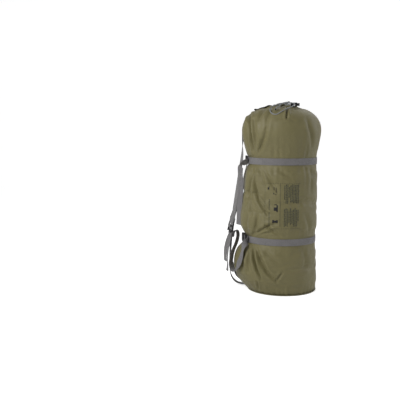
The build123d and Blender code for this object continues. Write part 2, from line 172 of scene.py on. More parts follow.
def lock_matrix(top, face_deg):
    """A ladder lock's frame: X down the strap, Z outwards."""
    a = radians(face_deg)
    out = Vector((cos(a), sin(a), 0.22)).normalized()
    down = Vector((cos(a) * 0.22, sin(a) * 0.22, -1))
    return frame_matrix(top, down - out * down.dot(out), out)


STRAPS = {"upper": Strap("upper", 184.0), "lower": Strap("lower", 196.0)}

# Webbing routes: each row is a point and the direction of the width there.
UPPER_TAIL = [
    ((-0.136, -0.053, 0.494), (0.1, -0.35, 1)), ((-0.148, -0.056, 0.487), (0.3, -0.4, 0.85)),
    ((-0.158, -0.053, 0.474), (0.6, -0.5, 0.6)), ((-0.16, -0.046, 0.45), (0.75, -0.65, 0.15)),
    ((-0.158, -0.04, 0.4), (0.8, -0.6, 0)), ((-0.161, -0.036, 0.34), (0.8, -0.6, 0)),
    ((-0.164, -0.033, 0.29), (0.75, -0.65, 0)), ((-0.166, -0.031, 0.25), (0.75, -0.65, 0)),
]
LOWER_TAIL = [
    ((-0.131, -0.082, 0.196), (0.05, -0.1, 1)), ((-0.142, -0.091, 0.18), (-0.4, 0.6, 0.5)),
    ((-0.147, -0.09, 0.16), (-0.4, 0.9, 0)), ((-0.152, -0.092, 0.135), (-0.6, 0.8, 0)),
    ((-0.16, -0.092, 0.112), (-0.7, 0.7, 0)), ((-0.17, -0.084, 0.092), (-0.3, 0.95, 0)),
    ((-0.18, -0.07, 0.08), (0.2, 0.95, 0)), ((-0.189, -0.052, 0.084), (0.4, 0.9, 0)),
    ((-0.194, -0.037, 0.1), (0.5, 0.85, 0)), ((-0.192, -0.027, 0.125), (0.5, 0.85, 0)),
    ((-0.186, -0.022, 0.15), (0.5, 0.85, 0)), ((-0.175, -0.019, 0.178), (0.5, 0.85, 0)),
    ((-0.169, -0.016, 0.205), (0.45, 0.9, 0)), ((-0.172, -0.013, 0.222), (0.4, 0.9, 0)),
    ((-0.181, -0.011, 0.224), (0.4, 0.9, 0)), ((-0.188, -0.01, 0.212), (0.4, 0.9, 0)),
    ((-0.19, -0.01, 0.198), (0.4, 0.9, 0)),
]
NEAR_SHOULDER = faced([
    (-0.1504, 0.043, 0.628, 163), (-0.154, 0.0405, 0.6, 166), (-0.157, 0.036, 0.56, 180),
    (-0.158, 0.032, 0.515, 195), (-0.164, 0.028, 0.465, 200), (-0.171, 0.024, 0.41, 203),
    (-0.179, 0.021, 0.355, 203), (-0.186, 0.018, 0.305, 203), (-0.1905, 0.0165, 0.262, 203),
])
FAR_SHOULDER = faced([
    (-0.1156, 0.1016, 0.628, 137), (-0.119, 0.1024, 0.6, 140), (-0.127, 0.101, 0.56, 152),
    (-0.136, 0.097, 0.51, 175), (-0.146, 0.091, 0.455, 190), (-0.156, 0.084, 0.4, 200),
    (-0.169, 0.075, 0.35, 205), (-0.184, 0.066, 0.305, 210), (-0.197, 0.058, 0.264, 211),
])
NEAR_LOWER = faced([
    (-0.1974, 0.0141, 0.197, 203), (-0.199, 0.015, 0.17, 202), (-0.201, 0.017, 0.14, 198),
    (-0.203, 0.019, 0.11, 192), (-0.204, 0.021, 0.08, 187), (-0.201, 0.023, 0.052, 182),
    (-0.192, 0.025, 0.028, 178), (-0.176, 0.028, 0.012, 174), (-0.157, 0.031, 0.0056, 170),
    (-0.14, 0.033, 0.0042, 167), (-0.1235, 0.031, 0.0039, 166),
])
FAR_LOWER = faced([
    (-0.2051, 0.0535, 0.199, 211), (-0.205, 0.056, 0.17, 206), (-0.204, 0.061, 0.14, 198),
    (-0.201, 0.067, 0.11, 188), (-0.196, 0.073, 0.08, 176), (-0.189, 0.08, 0.052, 165),
    (-0.178, 0.087, 0.028, 156), (-0.161, 0.093, 0.012, 150), (-0.142, 0.095, 0.0056, 146),
    (-0.122, 0.088, 0.0042, 143), (-0.101, 0.076, 0.0039, 143),
])
NEAR_TAIL = faced([
    (-0.1993, 0.0133, 0.197, 203), (-0.206, 0.009, 0.172, 202), (-0.21, 0.004, 0.142, 198),
    (-0.211, 0, 0.112, 192), (-0.21, -0.002, 0.084, 196), (-0.211, -0.003, 0.062, 205),
])
FAR_TAIL = faced([
    (-0.2068, 0.0525, 0.199, 211), (-0.215, 0.046, 0.174, 215), (-0.221, 0.041, 0.146, 215),
    (-0.223, 0.039, 0.118, 212), (-0.222, 0.04, 0.092, 210),
])
LOOP_ROUTE = [
    (0.038, -0.06, 0.70285), (0.038, -0.075, 0.70285), (0.028, -0.092, 0.696), (0.009, -0.104, 0.689),
    (-0.008, -0.116, 0.679), (-0.024, -0.127, 0.6675), (-0.041, -0.122, 0.669), (-0.051, -0.107, 0.682),
    (-0.046, -0.089, 0.695), (-0.028, -0.078, 0.704), (-0.006, -0.073, 0.7075), (0.012, -0.073, 0.7105),
    (0.027, -0.079, 0.7115), (0.038, -0.075, 0.70715), (0.038, -0.06, 0.70715),
]
TAIL_A_ROUTE = [
    (-0.008, -0.066, 0.709), (-0.002, -0.056, 0.7115), (0.008, -0.049, 0.7135), (0.016, -0.038, 0.715),
]
TAIL_B_ROUTE = [
    (-0.015, -0.083, 0.7025), (-0.017, -0.092, 0.6985), (-0.024, -0.1, 0.6945), (-0.028, -0.11, 0.688),
]

# ---- small tools ----------------------------------------------------------------------------------------
def shader_node(tree, kind, sockets=None, **values):
    """A node with its values set, and its sockets set or linked."""
    made = tree.nodes.new(kind)
    for key, value in values.items():
        setattr(made, key, value)
    for key, value in (sockets or {}).items():
        if isinstance(value, bpy.types.NodeSocket):
            tree.links.new(value, made.inputs[key])
        else:
            made.inputs[key].default_value = value
    return made


def math_node(tree, operation, a, b=0.0, clamp=False):
    return shader_node(tree, "ShaderNodeMath", {0: a, 1: b}, operation=operation, use_clamp=clamp).outputs[0]


def ripple(tree, source, period):
    """A sine of that period along a coordinate in metres."""
    return math_node(tree, "SINE", math_node(tree, "MULTIPLY", source, 2 * pi / period))


def zigzag(tree, source, period):
    """A triangle wave from 0 to 1."""
    return math_node(tree, "PINGPONG", math_node(tree, "MULTIPLY", source, 2 / period), 1.0)


def noise_node(tree, vector, scale, detail=3.0, roughness=0.5):
    sockets = {"Vector": vector, "Scale": scale, "Detail": detail, "Roughness": roughness}
    return shader_node(tree, "ShaderNodeTexNoise", sockets).outputs[0]


def mixed(tree, share, a, b):
    """A colour between two, each a colour or a socket."""
    made = shader_node(tree, "ShaderNodeMix", data_type="RGBA")
    for key, value in ((0, share), (6, a), (7, b)):
        if isinstance(value, bpy.types.NodeSocket):
            tree.links.new(value, made.inputs[key])
        else:
            made.inputs[key].default_value = value if key == 0 else (*value[:3], 1.0)
    return made.outputs[2]


def spread(tree, source, low, high, to_low=0.0, to_high=1.0):
    """A value's stretch from low to high, mapped to another."""
    sockets = {0: source, 1: low, 2: high, 3: to_low, 4: to_high}
    return shader_node(tree, "ShaderNodeMapRange", sockets).outputs[0]


def tinted(tree, base, source, low, high, share, colour):
    """A colour laid over the base, up to its share, where a value rises from low to high."""
    return mixed(tree, spread(tree, source, low, high, 0.0, share), base, colour)


def bumped(tree, height, distance, strength=1.0, under=None):
    sockets = {"Height": height, "Distance": distance, "Strength": strength}
    if under is not None:
        sockets["Normal"] = under
    return shader_node(tree, "ShaderNodeBump", sockets).outputs[0]


def blank_material(name, roughness, specular=0.5, sheen=0.0, sheen_roughness=0.4):
    """A material with its even values set on the shader's own sockets."""
    made = bpy.data.materials.new(name)
    made.use_nodes = True
    shader = made.node_tree.nodes["Principled BSDF"]
    shader.inputs["Roughness"].default_value = roughness
    shader.inputs["Specular IOR Level"].default_value = specular
    shader.inputs["Sheen Weight"].default_value = sheen
    shader.inputs["Sheen Roughness"].default_value = sheen_roughness
    return made, made.node_tree, shader


def finish_material(tree, shader, colour, normal, roughness=None):
    tree.links.new(colour, shader.inputs["Base Color"])
    tree.links.new(normal, shader.inputs["Normal"])
    if roughness is not None:
        tree.links.new(roughness, shader.inputs["Roughness"])


def darker(colour, share):
    return tuple(c * share for c in colour)


def object_coordinates(tree):
    return shader_node(tree, "ShaderNodeTexCoord").outputs["Object"]


def attribute(tree, name):
    return shader_node(tree, "ShaderNodeAttribute", attribute_name=name).outputs["Fac"]


# ---- materials ------------------------------------------------------------------------------------------
def cloth_material(name, colour, crinkle):
    """Coated plain-weave cloth: fine threads over soft crinkles, with a slight uneven shine."""
    made, tree, shader = blank_material(name, 0.5, specular=0.38, sheen=0.12)
    place = object_coordinates(tree)
    uv = shader_node(tree, "ShaderNodeUVMap", uv_map="weave").outputs[0]
    across = shader_node(tree, "ShaderNodeSeparateXYZ", {0: uv})
    warp, weft = ripple(tree, across.outputs[0], 0.0011), ripple(tree, across.outputs[1], 0.0011)
    threads = math_node(tree, "MULTIPLY", warp, weft)
    cloudy = noise_node(tree, place, 9.0, 4.0, 0.55)
    rubbed = noise_node(tree, place, 60.0, 3.0, 0.6)
    base = tinted(tree, darker(colour, 0.93), cloudy, 0.3, 0.7, 1.0, darker(colour, 1.07))
    base = tinted(tree, base, rubbed, 0.5, 0.8, 0.35, darker(colour, 1.16))
    base = tinted(tree, base, threads, -1.0, 1.0, 0.2, darker(colour, 0.72))
    creased = noise_node(tree, place, 42.0, 5.0, 0.62)
    soft = noise_node(tree, place, 14.0, 2.0, 0.5)
    normal = bumped(tree, soft, 0.006 * crinkle, 0.55)
    normal = bumped(tree, creased, 0.0022 * crinkle, 0.5, normal)
    normal = bumped(tree, threads, 0.00012, 0.45, normal)
    finish_material(tree, shader, base, normal, spread(tree, rubbed, 0.3, 0.75, 0.44, 0.58))
    return made


def webbing_material(name, colour):
    """Ribbed woven tape: a herringbone of fine ribs along the strap, tighter at the edges."""
    made, tree, shader = blank_material(name, 0.62, specular=0.3, sheen=0.25)
    along, across = attribute(tree, "along"), attribute(tree, "across")
    slant = math_node(tree, "MULTIPLY", zigzag(tree, across, 0.0064), 1.5)
    turn = math_node(tree, "ADD", math_node(tree, "MULTIPLY", along, 1 / 0.0021), slant)
    ribs = math_node(tree, "SINE", math_node(tree, "MULTIPLY", turn, 2 * pi))
    picks = ripple(tree, across, 0.0008)
    place = object_coordinates(tree)
    dusty = noise_node(tree, place, 55.0, 4.0, 0.6)
    fuzzy = noise_node(tree, place, 900.0, 2.0, 0.6)
    base = tinted(tree, darker(colour, 0.66), ribs, -1.0, 1.0, 1.0, darker(colour, 1.16))
    base = tinted(tree, base, dusty, 0.35, 0.75, 0.3, darker(colour, 1.3))
    base = tinted(tree, base, fuzzy, 0.4, 0.7, 0.22, darker(colour, 0.6))
    normal = bumped(tree, math_node(tree, "MULTIPLY", picks, 0.5), 0.0001, 0.5)
    normal = bumped(tree, ribs, 0.0003, 0.8, normal)
    finish_material(tree, shader, base, normal, spread(tree, ribs, -1.0, 1.0, 0.72, 0.52))
    return made


def tape_material(name, colour):
    """Narrow folded binding tape with cross ribs."""
    made, tree, shader = blank_material(name, 0.6, specular=0.3, sheen=0.2)
    ribs = ripple(tree, attribute(tree, "along"), 0.0012)
    wear = noise_node(tree, object_coordinates(tree), 120.0, 3.0, 0.6)
    base = tinted(tree, darker(colour, 0.7), ribs, -1.0, 1.0, 1.0, darker(colour, 1.3))
    base = tinted(tree, base, wear, 0.5, 0.8, 0.3, tuple(c + 0.03 for c in colour))
    finish_material(tree, shader, base, bumped(tree, ribs, 0.0002, 0.7))
    return made


CORD_STRANDS = 4  # strands of the braid that go each way round


def cord_material(name, colour):
    """Braided cord: two sets of strands cross as they go round it."""
    made, tree, shader = blank_material(name, 0.6, specular=0.35, sheen=0.2)
    along, around = attribute(tree, "along"), attribute(tree, "around")
    climb = math_node(tree, "MULTIPLY", along, 1 / 0.0026)
    plait = math_node(tree, "MAXIMUM", *[
        ripple(tree, math_node(tree, way, climb, around), 1 / CORD_STRANDS) for way in ("ADD", "SUBTRACT")])
    fleck = noise_node(tree, object_coordinates(tree), 700.0, 2.0, 0.5)
    base = tinted(tree, darker(colour, 0.45), plait, -0.6, 1.0, 1.0, darker(colour, 1.15))
    base = tinted(tree, base, fleck, 0.55, 0.75, 0.5, darker(colour, 0.35))
    finish_material(tree, shader, base, bumped(tree, plait, 0.0002, 0.8))
    return made


def moulded_material(name, colour, roughness):
    """Moulded plastic: a fine spark-etched grain with rubbed high spots."""
    made, tree, shader = blank_material(name, roughness, specular=0.45)
    place = object_coordinates(tree)
    grain = noise_node(tree, place, 1800.0, 2.0, 0.6)
    scuffs = noise_node(tree, place, 90.0, 5.0, 0.7)
    base = tinted(tree, colour, scuffs, 0.55, 0.75, 0.5, tuple(c * 1.6 + 0.01 for c in colour))
    rough = spread(tree, scuffs, 0.4, 0.7, roughness - 0.06, roughness + 0.14)
    finish_material(tree, shader, base, bumped(tree, grain, 0.00008, 0.5), rough)
    return made


def metal_material(name, colour, roughness):
    """Drawn or rolled metal with fine scratches."""
    made, tree, shader = blank_material(name, roughness)
    shader.inputs["Metallic"].default_value = 1.0
    place = object_coordinates(tree)
    scratch = noise_node(tree, place, 400.0, 4.0, 0.7)
    base = tinted(tree, darker(colour, 0.8), scratch, 0.4, 0.7, 1.0, colour)
    rough = spread(tree, scratch, 0.3, 0.7, roughness - 0.05, roughness + 0.12)
    finish_material(tree, shader, base, bumped(tree, scratch, 0.00004, 0.4), rough)
    return made


def ink_material(name, colour):
    """Screen-printed ink, broken by the weave under it."""
    made, tree, shader = blank_material(name, 0.55, specular=0.3)
    place = object_coordinates(tree)
    worn = noise_node(tree, place, 260.0, 4.0, 0.7)
    base = tinted(tree, colour, worn, 0.45, 0.75, 0.6, tuple(c * 1.5 + 0.02 for c in colour))
    finish_material(tree, shader, base, bumped(tree, worn, 0.0001, 0.4))
    return made


def thread_material(name, colour):
    made, tree, shader = blank_material(name, 0.55, specular=0.35, sheen=0.2)
    twist = ripple(tree, math_node(tree, "ADD", *shader_node(
        tree, "ShaderNodeSeparateXYZ", {0: object_coordinates(tree)}).outputs[1:3]), 0.0006)
    base = tinted(tree, darker(colour, 0.7), twist, -1.0, 1.0, 1.0, darker(colour, 1.2))
    finish_material(tree, shader, base, bumped(tree, twist, 0.00006, 0.6))
    return made


# ---- meshes ---------------------------------------------------------------------------------------------
def piece(name, bm, body, material, replaces=()):
    """The bmesh as an object that rides on a body."""
    bmesh.ops.recalc_face_normals(bm, faces=bm.faces[:])
    mesh = bpy.data.meshes.new(name)
    bm.to_mesh(mesh)
    bm.free()
    for face in mesh.polygons:
        face.use_smooth = True
    made = bpy.data.objects.new(name, mesh)
    bpy.context.scene.collection.objects.link(made)
    mesh.materials.append(material)
    if replaces:
        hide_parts(*replaces)
    if body:
        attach(made, body)
    return made


def smooth_line(points, per_span):
    """Points on a smooth line through the given ones."""
    points = [Vector(p) for p in points]
    points = [points[0] * 2 - points[1], *points, points[-1] * 2 - points[-2]]
    line = []
    for a, b, c, d in zip(points, points[1:], points[2:], points[3:]):
        for i in range(per_span):
            t = i / per_span
            line.append((b * 2 + (c - a) * t + (a * 2 - b * 5 + c * 4 - d) * t * t
                         + (b * 3 - a - c * 3 + d) * t ** 3) / 2)
    return [*line, points[-2]]


def stations(line, widths):
    """A place at each point of a line: X across the webbing, Y out of it, Z along it."""
    places = []
    for i, point in enumerate(line):
        along = (line[min(i + 1, len(line) - 1)] - line[max(i - 1, 0)]).normalized()
        across = (widths[i] - along * widths[i].dot(along)).normalized()
        axes = Matrix((across, along.cross(across), along)).transposed()
        places.append(Matrix.Translation(point) @ axes.to_4x4())
    return places


def route_stations(route, per_span=6):
    """Stations along a webbing route."""
    line = smooth_line([p for p, _ in route], per_span)
    widths = smooth_line([w for _, w in route], per_span)
    return stations(line, widths)


def cord_stations(line):
    """Stations along a line whose section doesn't roll."""
    across = (line[1] - line[0]).orthogonal()
    widths = []
    for i in range(len(line)):
        along = (line[min(i + 1, len(line) - 1)] - line[max(i - 1, 0)]).normalized()
        across = (across - along * across.dot(along)).normalized()
        widths.append(across)
    return stations(line, widths)


def rim(verts):
    """The edges between the vertices of a ring."""
    members = set(verts)
    return [e for v in verts for e in v.link_edges if e.verts[0] is v and e.verts[1] in members]


def sweep(bm, places, shape, segments, closed=False):
    """A section carried along its stations; shape gives its point from an angle and a share of the way."""
    along = bm.verts.layers.float.get("along") or bm.verts.layers.float.new("along")
    across = bm.verts.layers.float.get("across") or bm.verts.layers.float.new("across")
    around = bm.verts.layers.float.get("around") or bm.verts.layers.float.new("around")
    angles = [2 * pi * i / segments for i in range(segments)]
    ring = bmesh.ops.create_circle(bm, segments=segments, radius=1, cap_ends=not closed)["verts"]
    ring.sort(key=lambda v: atan2(v.co.y, v.co.x) % (2 * pi - 1e-6))
    first, travelled = ring, 0.0
    for k, place in enumerate(places):
        if k:
            travelled += (place.translation - places[k - 1].translation).length
            members = set(ring)
            grown = bmesh.ops.extrude_edge_only(bm, edges=rim(ring))["geom"]
            fresh = {e.other_vert(v): v for v in grown if isinstance(v, bmesh.types.BMVert)
                     for e in v.link_edges if e.other_vert(v) in members}
            ring = [fresh[v] for v in ring]
        for vert, angle in zip(ring, angles):
            x, y = shape(angle, k / (len(places) - 1))
            vert.co = place @ Vector((x, y, 0))
            vert[along], vert[across], vert[around] = travelled, x, angle / (2 * pi)
    if closed:
        bmesh.ops.bridge_loops(bm, edges=rim(ring) + rim(first))
    else:
        bmesh.ops.contextual_create(bm, geom=rim(ring))


def flat_section(width, thickness, edge=0.25):
    """A strap's section: flat, with full round edges."""
    def point(angle, _):
        c, s = cos(angle), sin(angle)
        x = width / 2 * (abs(c) ** edge if c > 0 else -abs(c) ** edge)
        y = thickness / 2 * (abs(s) ** 0.5 if s > 0 else -abs(s) ** 0.5)
        return x, y
    return point


def round_section(radius):
    def point(angle, _):
        return radius * cos(angle), radius * sin(angle)
    return point


def walled(made, thickness, offset=0.0):
    """Gives a sheet of cloth its thickness."""
    wall = made.modifiers.new("Solidify", "SOLIDIFY")
    wall.thickness, wall.offset = thickness, offset


def ribbon(name, places, body, *replaces, slot="grey_webbing", width=WEBBING, thickness=WEBBING_T):
    """A length of webbing through its stations."""
    bm = bmesh.new()
    sweep(bm, places, flat_section(width, thickness), 20)
    return piece(name, bm, body, finish(slot), replaces)


def stacked_rings(segments, count, capped):
    """A stack of rings a metre apart, closed at its top, that a piece's shape is then laid over."""
    bm = bmesh.new()
    bmesh.ops.create_circle(bm, segments=segments, radius=1, cap_ends=capped)
    edges = bm.edges[:]
    for _ in range(count - 1):
        grown = bmesh.ops.extrude_edge_only(bm, edges=edges)["geom"]
        bmesh.ops.translate(bm, vec=(0, 0, 1), verts=[g for g in grown if isinstance(g, bmesh.types.BMVert)])
        edges = [g for g in grown if isinstance(g, bmesh.types.BMEdge) and g.is_boundary]
    bmesh.ops.contextual_create(bm, geom=edges)
    return bm


def finer(made):
    """One level of smooth subdivision."""
    smooth = made.modifiers.new("Subdivision", "SUBSURF")
    smooth.levels = smooth.render_levels = 1
    return smooth


def rounded_corners(points, radii, steps=5):
    """A line in a plane with its corners rounded."""
    line = [Vector(points[0])]
    for a, b, c, radius in zip(points, points[1:], points[2:], radii):
        a, b, c = Vector(a), Vector(b), Vector(c)
        into, out = (b - a).normalized(), (c - b).normalized()
        half = into.angle(out) / 2
        reach = min(radius * tan(half), 0.49 * (b - a).length, 0.49 * (c - b).length)
        start, end = b - into * reach, b + out * reach
        for i in range(steps + 1):
            t = i / steps
            line.append(start * (1 - t) ** 2 + b * 2 * t * (1 - t) + end * t * t)
    return [*line, Vector(points[-1])]


def even(line, step):
    """The line again with points about a step apart, its own corners kept."""
    spaced = [line[0]]
    for a, b in zip(line, line[1:]):
        parts = max(1, ceil((b - a).length / step))
        spaced += [a.lerp(b, i / parts) for i in range(1, parts + 1)]
    return spaced


def threaded_stations(matrix, points, radii):
    """Stations of webbing threaded round bars in a fitting's X-Z plane."""
    line = [matrix @ Vector((p.x, 0, p.y)) for p in even(rounded_corners(points, radii), 0.003)]
    across = matrix.to_3x3() @ Vector((0, 1, 0))
    return stations(line, [across] * len(line))


STITCH, STITCH_GAP, STITCH_R = 0.0030, 0.0008, 0.00042


def stitch_run(bm, points, outs, proud=0.0002):
    """Stitches laid end to end along a line, each a small rounded dash lying on the cloth."""
    line, length = [Vector(p) for p in points], 0.0
    lengths = [0.0]
    for a, b in zip(line, line[1:]):
        length += (b - a).length
        lengths.append(length)
    count = max(1, round(length / (STITCH + STITCH_GAP)))
    at = 0
    for i in range(count):
        middle = (i + 0.5) * length / count
        while at < len(lengths) - 2 and lengths[at + 1] < middle:
            at += 1
        a, b = line[at], line[at + 1]
        t = (middle - lengths[at]) / max(1e-9, lengths[at + 1] - lengths[at])
        out = Vector(outs[at]).lerp(Vector(outs[min(at + 1, len(outs) - 1)]), t).normalized()
        place = frame_matrix(a.lerp(b, t) + out * proud, b - a, out)
        size = Matrix.Diagonal((STITCH / 2, STITCH_R, STITCH_R, 1))
        bmesh.ops.create_icosphere(bm, subdivisions=1, radius=1, matrix=place @ size)


def dressed(nodes, material):
    """CAD nodes that stay, in a better material."""
    for name in nodes:
        kept = frame["nodes"][name]
        kept.data.materials.clear()
        kept.data.materials.append(material)


# ---- the bag --------------------------------------------------------------------------------------------
BAG_SEGMENTS = 160
WALL_TOP = 0.560
WALL_LEVELS, DOME_LEVELS = 92, 34
DOME_END_DEG = 82.0
NECK_RINGS = [(0.0172, 0.7005), (0.0156, 0.7040), (0.0152, 0.7080), (0.0142, 0.7110), (0.0105, 0.7112),
              (0.0065, 0.7085), (0.0030, 0.7055)]
FLOOR_RINGS = [(0.045, 0.0036), (0.095, 0.0036), (0.1268, 0.0038)]

WEAVE_R, WEAVE_STEP = 0.135, 0.006  # the weave's size round the bag and for each level up it
PINCH_HALF, PINCH_SLOPE = 0.0128, 1.6  # half the height that a strap presses flat, and the rise from it
SIDE_FADE = 0.02  # the folds fade out over this depth at the bag's sides

FOLD_GAIN = 1.35
# Folds pressed into the front, each a line of (x, z) points, a depth and a half width.
FRONT_FOLDS = [
    ([(-0.126, 0.668), (-0.124, 0.640), (-0.119, 0.600), (-0.113, 0.556), (-0.104, 0.514)], 0.0150, 0.0080),
    ([(-0.135, 0.630), (-0.131, 0.580), (-0.121, 0.530)], 0.0080, 0.0080),
    ([(-0.107, 0.648), (-0.103, 0.600), (-0.100, 0.556), (-0.098, 0.516)], 0.0070, 0.0080),
    ([(-0.094, 0.514), (-0.082, 0.545), (-0.068, 0.585), (-0.060, 0.620)], 0.0050, 0.0085),
    ([(-0.062, 0.695), (-0.080, 0.675), (-0.092, 0.650)], 0.0050, 0.0080),
    ([(-0.110, 0.484), (-0.116, 0.440), (-0.124, 0.390), (-0.130, 0.335)], 0.0080, 0.0085),
    ([(-0.104, 0.482), (-0.103, 0.420), (-0.088, 0.355), (-0.054, 0.304)], 0.0080, 0.0075),
    ([(-0.117, 0.380), (-0.119, 0.340), (-0.114, 0.300)], 0.0060, 0.0060),
    ([(-0.074, 0.480), (-0.048, 0.432), (-0.018, 0.390)], 0.0036, 0.0100),
    ([(-0.088, 0.482), (-0.072, 0.440), (-0.062, 0.400)], 0.0030, 0.0080),
    ([(-0.020, 0.482), (0.004, 0.455), (0.030, 0.436)], 0.0024, 0.0100),
    ([(-0.112, 0.218), (-0.080, 0.242), (-0.046, 0.264), (-0.020, 0.272)], 0.0058, 0.0075),
    ([(-0.104, 0.222), (-0.096, 0.262), (-0.092, 0.300)], 0.0060, 0.0075),
    ([(-0.060, 0.266), (-0.028, 0.240), (0.010, 0.218)], 0.0056, 0.0075),
    ([(-0.090, 0.220), (-0.062, 0.236), (-0.034, 0.240)], 0.0036, 0.0065),
    ([(-0.128, 0.224), (-0.136, 0.262), (-0.130, 0.300)], 0.0050, 0.0085),
    ([(-0.104, 0.184), (-0.102, 0.140), (-0.090, 0.098), (-0.074, 0.062)], 0.0100, 0.0062),
    ([(-0.096, 0.182), (-0.074, 0.128), (-0.052, 0.090), (-0.016, 0.056)], 0.0070, 0.0085),
    ([(-0.116, 0.182), (-0.124, 0.130), (-0.122, 0.085)], 0.0060, 0.0085),
    ([(-0.128, 0.180), (-0.146, 0.130), (-0.148, 0.085)], 0.0050, 0.0090),
    ([(-0.070, 0.180), (-0.036, 0.146), (0.000, 0.120)], 0.0026, 0.0110),
    ([(-0.088, 0.050), (-0.084, 0.012)], 0.0050, 0.0045),
    ([(-0.018, 0.060), (-0.006, 0.078), (0.004, 0.090)], 0.0040, 0.0055),
    ([(0.013, 0.704), (0.012, 0.682), (0.011, 0.652)], 0.0070, 0.0048),
    ([(-0.020, 0.650), (0.012, 0.658), (0.040, 0.645)], 0.0022, 0.0090),
    ([(0.084, 0.650), (0.100, 0.600), (0.104, 0.550)], 0.0040, 0.0100),
    ([(-0.040, 0.690), (-0.058, 0.655), (-0.060, 0.620)], 0.0028, 0.0090),
    ([(0.100, 0.480), (0.107, 0.430), (0.104, 0.380)], 0.0032, 0.0090),
    ([(0.100, 0.222), (0.098, 0.262), (0.086, 0.300)], 0.0028, 0.0100),
    ([(0.078, 0.182), (0.088, 0.130), (0.082, 0.090)], 0.0024, 0.0110),
]
BACK_FOLDS = [
    ([(-0.060, 0.514), (-0.052, 0.560), (-0.030, 0.610)], 0.0050, 0.0110),
    ([(0.020, 0.514), (0.034, 0.560), (0.028, 0.620)], 0.0045, 0.0110),
    ([(0.080, 0.514), (0.082, 0.560), (0.070, 0.600)], 0.0040, 0.0110),
    ([(-0.040, 0.482), (-0.030, 0.430), (-0.042, 0.370), (-0.030, 0.310)], 0.0045, 0.0120),
    ([(0.040, 0.480), (0.060, 0.420), (0.052, 0.350)], 0.0045, 0.0120),
    ([(-0.020, 0.224), (0.004, 0.262), (0.000, 0.310)], 0.0045, 0.0110),
    ([(0.060, 0.222), (0.070, 0.270), (0.056, 0.310)], 0.0040, 0.0110),
    ([(-0.050, 0.180), (-0.044, 0.130), (-0.060, 0.070)], 0.0050, 0.0110),
    ([(0.030, 0.180), (0.040, 0.120), (0.020, 0.060)], 0.0045, 0.0110),
    ([(0.090, 0.180), (0.086, 0.130), (0.094, 0.080)], 0.0040, 0.0110),
]


def bag_place(theta, level, panel):
    """A point of the bag's cloth, from its angle and its level up the bag, on the panel's outer surface."""
    if level < len(FLOOR_RINGS):
        radius, z = FLOOR_RINGS[level]
        return Vector((radius * cos(theta), radius * sin(theta), z))
    level -= len(FLOOR_RINGS)
    if level <= WALL_LEVELS + DOME_LEVELS:
        lift = 0.0 if level <= WALL_LEVELS else radians(DOME_END_DEG) * (level - WALL_LEVELS) / DOME_LEVELS
        height = 0.0055 + (WALL_TOP - 0.0055) * min(level, WALL_LEVELS) / WALL_LEVELS
        centre = Vector((NECK.x, 0, height))
        ray = Vector((cos(theta) * cos(lift), sin(theta) * cos(lift), sin(lift)))
        hit = panel.ray_cast(centre + ray * 0.4, -ray)
        return hit[0] - ray * 0.0006
    radius, z = NECK_RINGS[level - WALL_LEVELS - DOME_LEVELS - 1]
    return Vector((NECK.x + radius * cos(theta), radius * sin(theta), z))


def distance_to_line(x, z, points):
    """How far a point is from a line of points, and the share of the line up to its nearest point."""
    best, share = 1.0, 0.0
    for i, ((ax, az), (bx, bz)) in enumerate(zip(points, points[1:])):
        dx, dz = bx - ax, bz - az
        t = clamped(((x - ax) * dx + (z - az) * dz) / (dx * dx + dz * dz))
        away = hypot(x - ax - dx * t, z - az - dz * t)
        if away < best:
            best, share = away, (i + t) / (len(points) - 1)
    return best, share


def fold_depth(x, z, folds):
    """How far the folds push the cloth in, less where their sides stand proud."""
    depth = 0.0
    for points, deep, half in folds:
        if not (min(p[0] for p in points) - 4 * half < x < max(p[0] for p in points) + 4 * half):
            continue
        away, share = distance_to_line(x, z, points)
        if away > 4 * half:
            continue
        fade = sin(pi * (0.12 + 0.80 * share)) ** 0.8
        valley = exp(-((away / (0.62 * half)) ** 2))
        shoulder = exp(-(((away - 1.5 * half) / (0.9 * half)) ** 2))
        depth += FOLD_GAIN * deep * fade * (valley - 0.38 * shoulder)
    return depth


def strap_press(z):
    """How free the cloth is at a height: 0 under a strap, at the seam and at the neck, 1 well away."""
    nearest = min(abs(z - strap.centre.z) for strap in STRAPS.values())
    free = clamped((nearest - 0.0135) / 0.030)
    return free * clamped((z - 0.008) / 0.03) * clamped((0.705 - z) / 0.02)


def pleated(point, normal):
    """The cloth's gathers: fine pleats run up and down from each strap, and in towards the neck."""
    theta = atan2(point.y, point.x - NECK.x)
    shift = 0.0
    for strap, count, seed in ((STRAPS["upper"], 31, 2.0), (STRAPS["lower"], 27, 9.0)):
        away = abs(point.z - strap.centre.z) - 0.0135
        if away > 0:
            wander = noise.noise(Vector((cos(theta) * 2.2, sin(theta) * 2.2, seed))) * 5.0
            some = 0.5 + noise.noise(Vector((cos(theta) * 3.1, sin(theta) * 3.1, seed + point.z * 3)))
            shift += 0.0019 * some * sin(count * theta + wander) * exp(-away / 0.045) * min(1.0, away / 0.012)
    reach = hypot(point.x - NECK.x, point.y)
    if point.z > 0.60 and reach < 0.12:
        wander = noise.noise(Vector((cos(theta) * 1.7, sin(theta) * 1.7, 4.0))) * 3.0
        near = clamped((0.12 - reach) / 0.09)
        shift += (0.0042 * near * near * sin(23 * theta + wander)
                  + 0.0016 * near * sin(41 * theta + wander * 2)) * min(1.0, reach / 0.03)
    if point.z < 0.05:
        wander = noise.noise(Vector((cos(theta) * 2.0, sin(theta) * 2.0, 7.0))) * 4.0
        shift += 0.0013 * sin(37 * theta + wander) * exp(-point.z / 0.022) * min(1.0, point.z / 0.008)
    return normal * shift


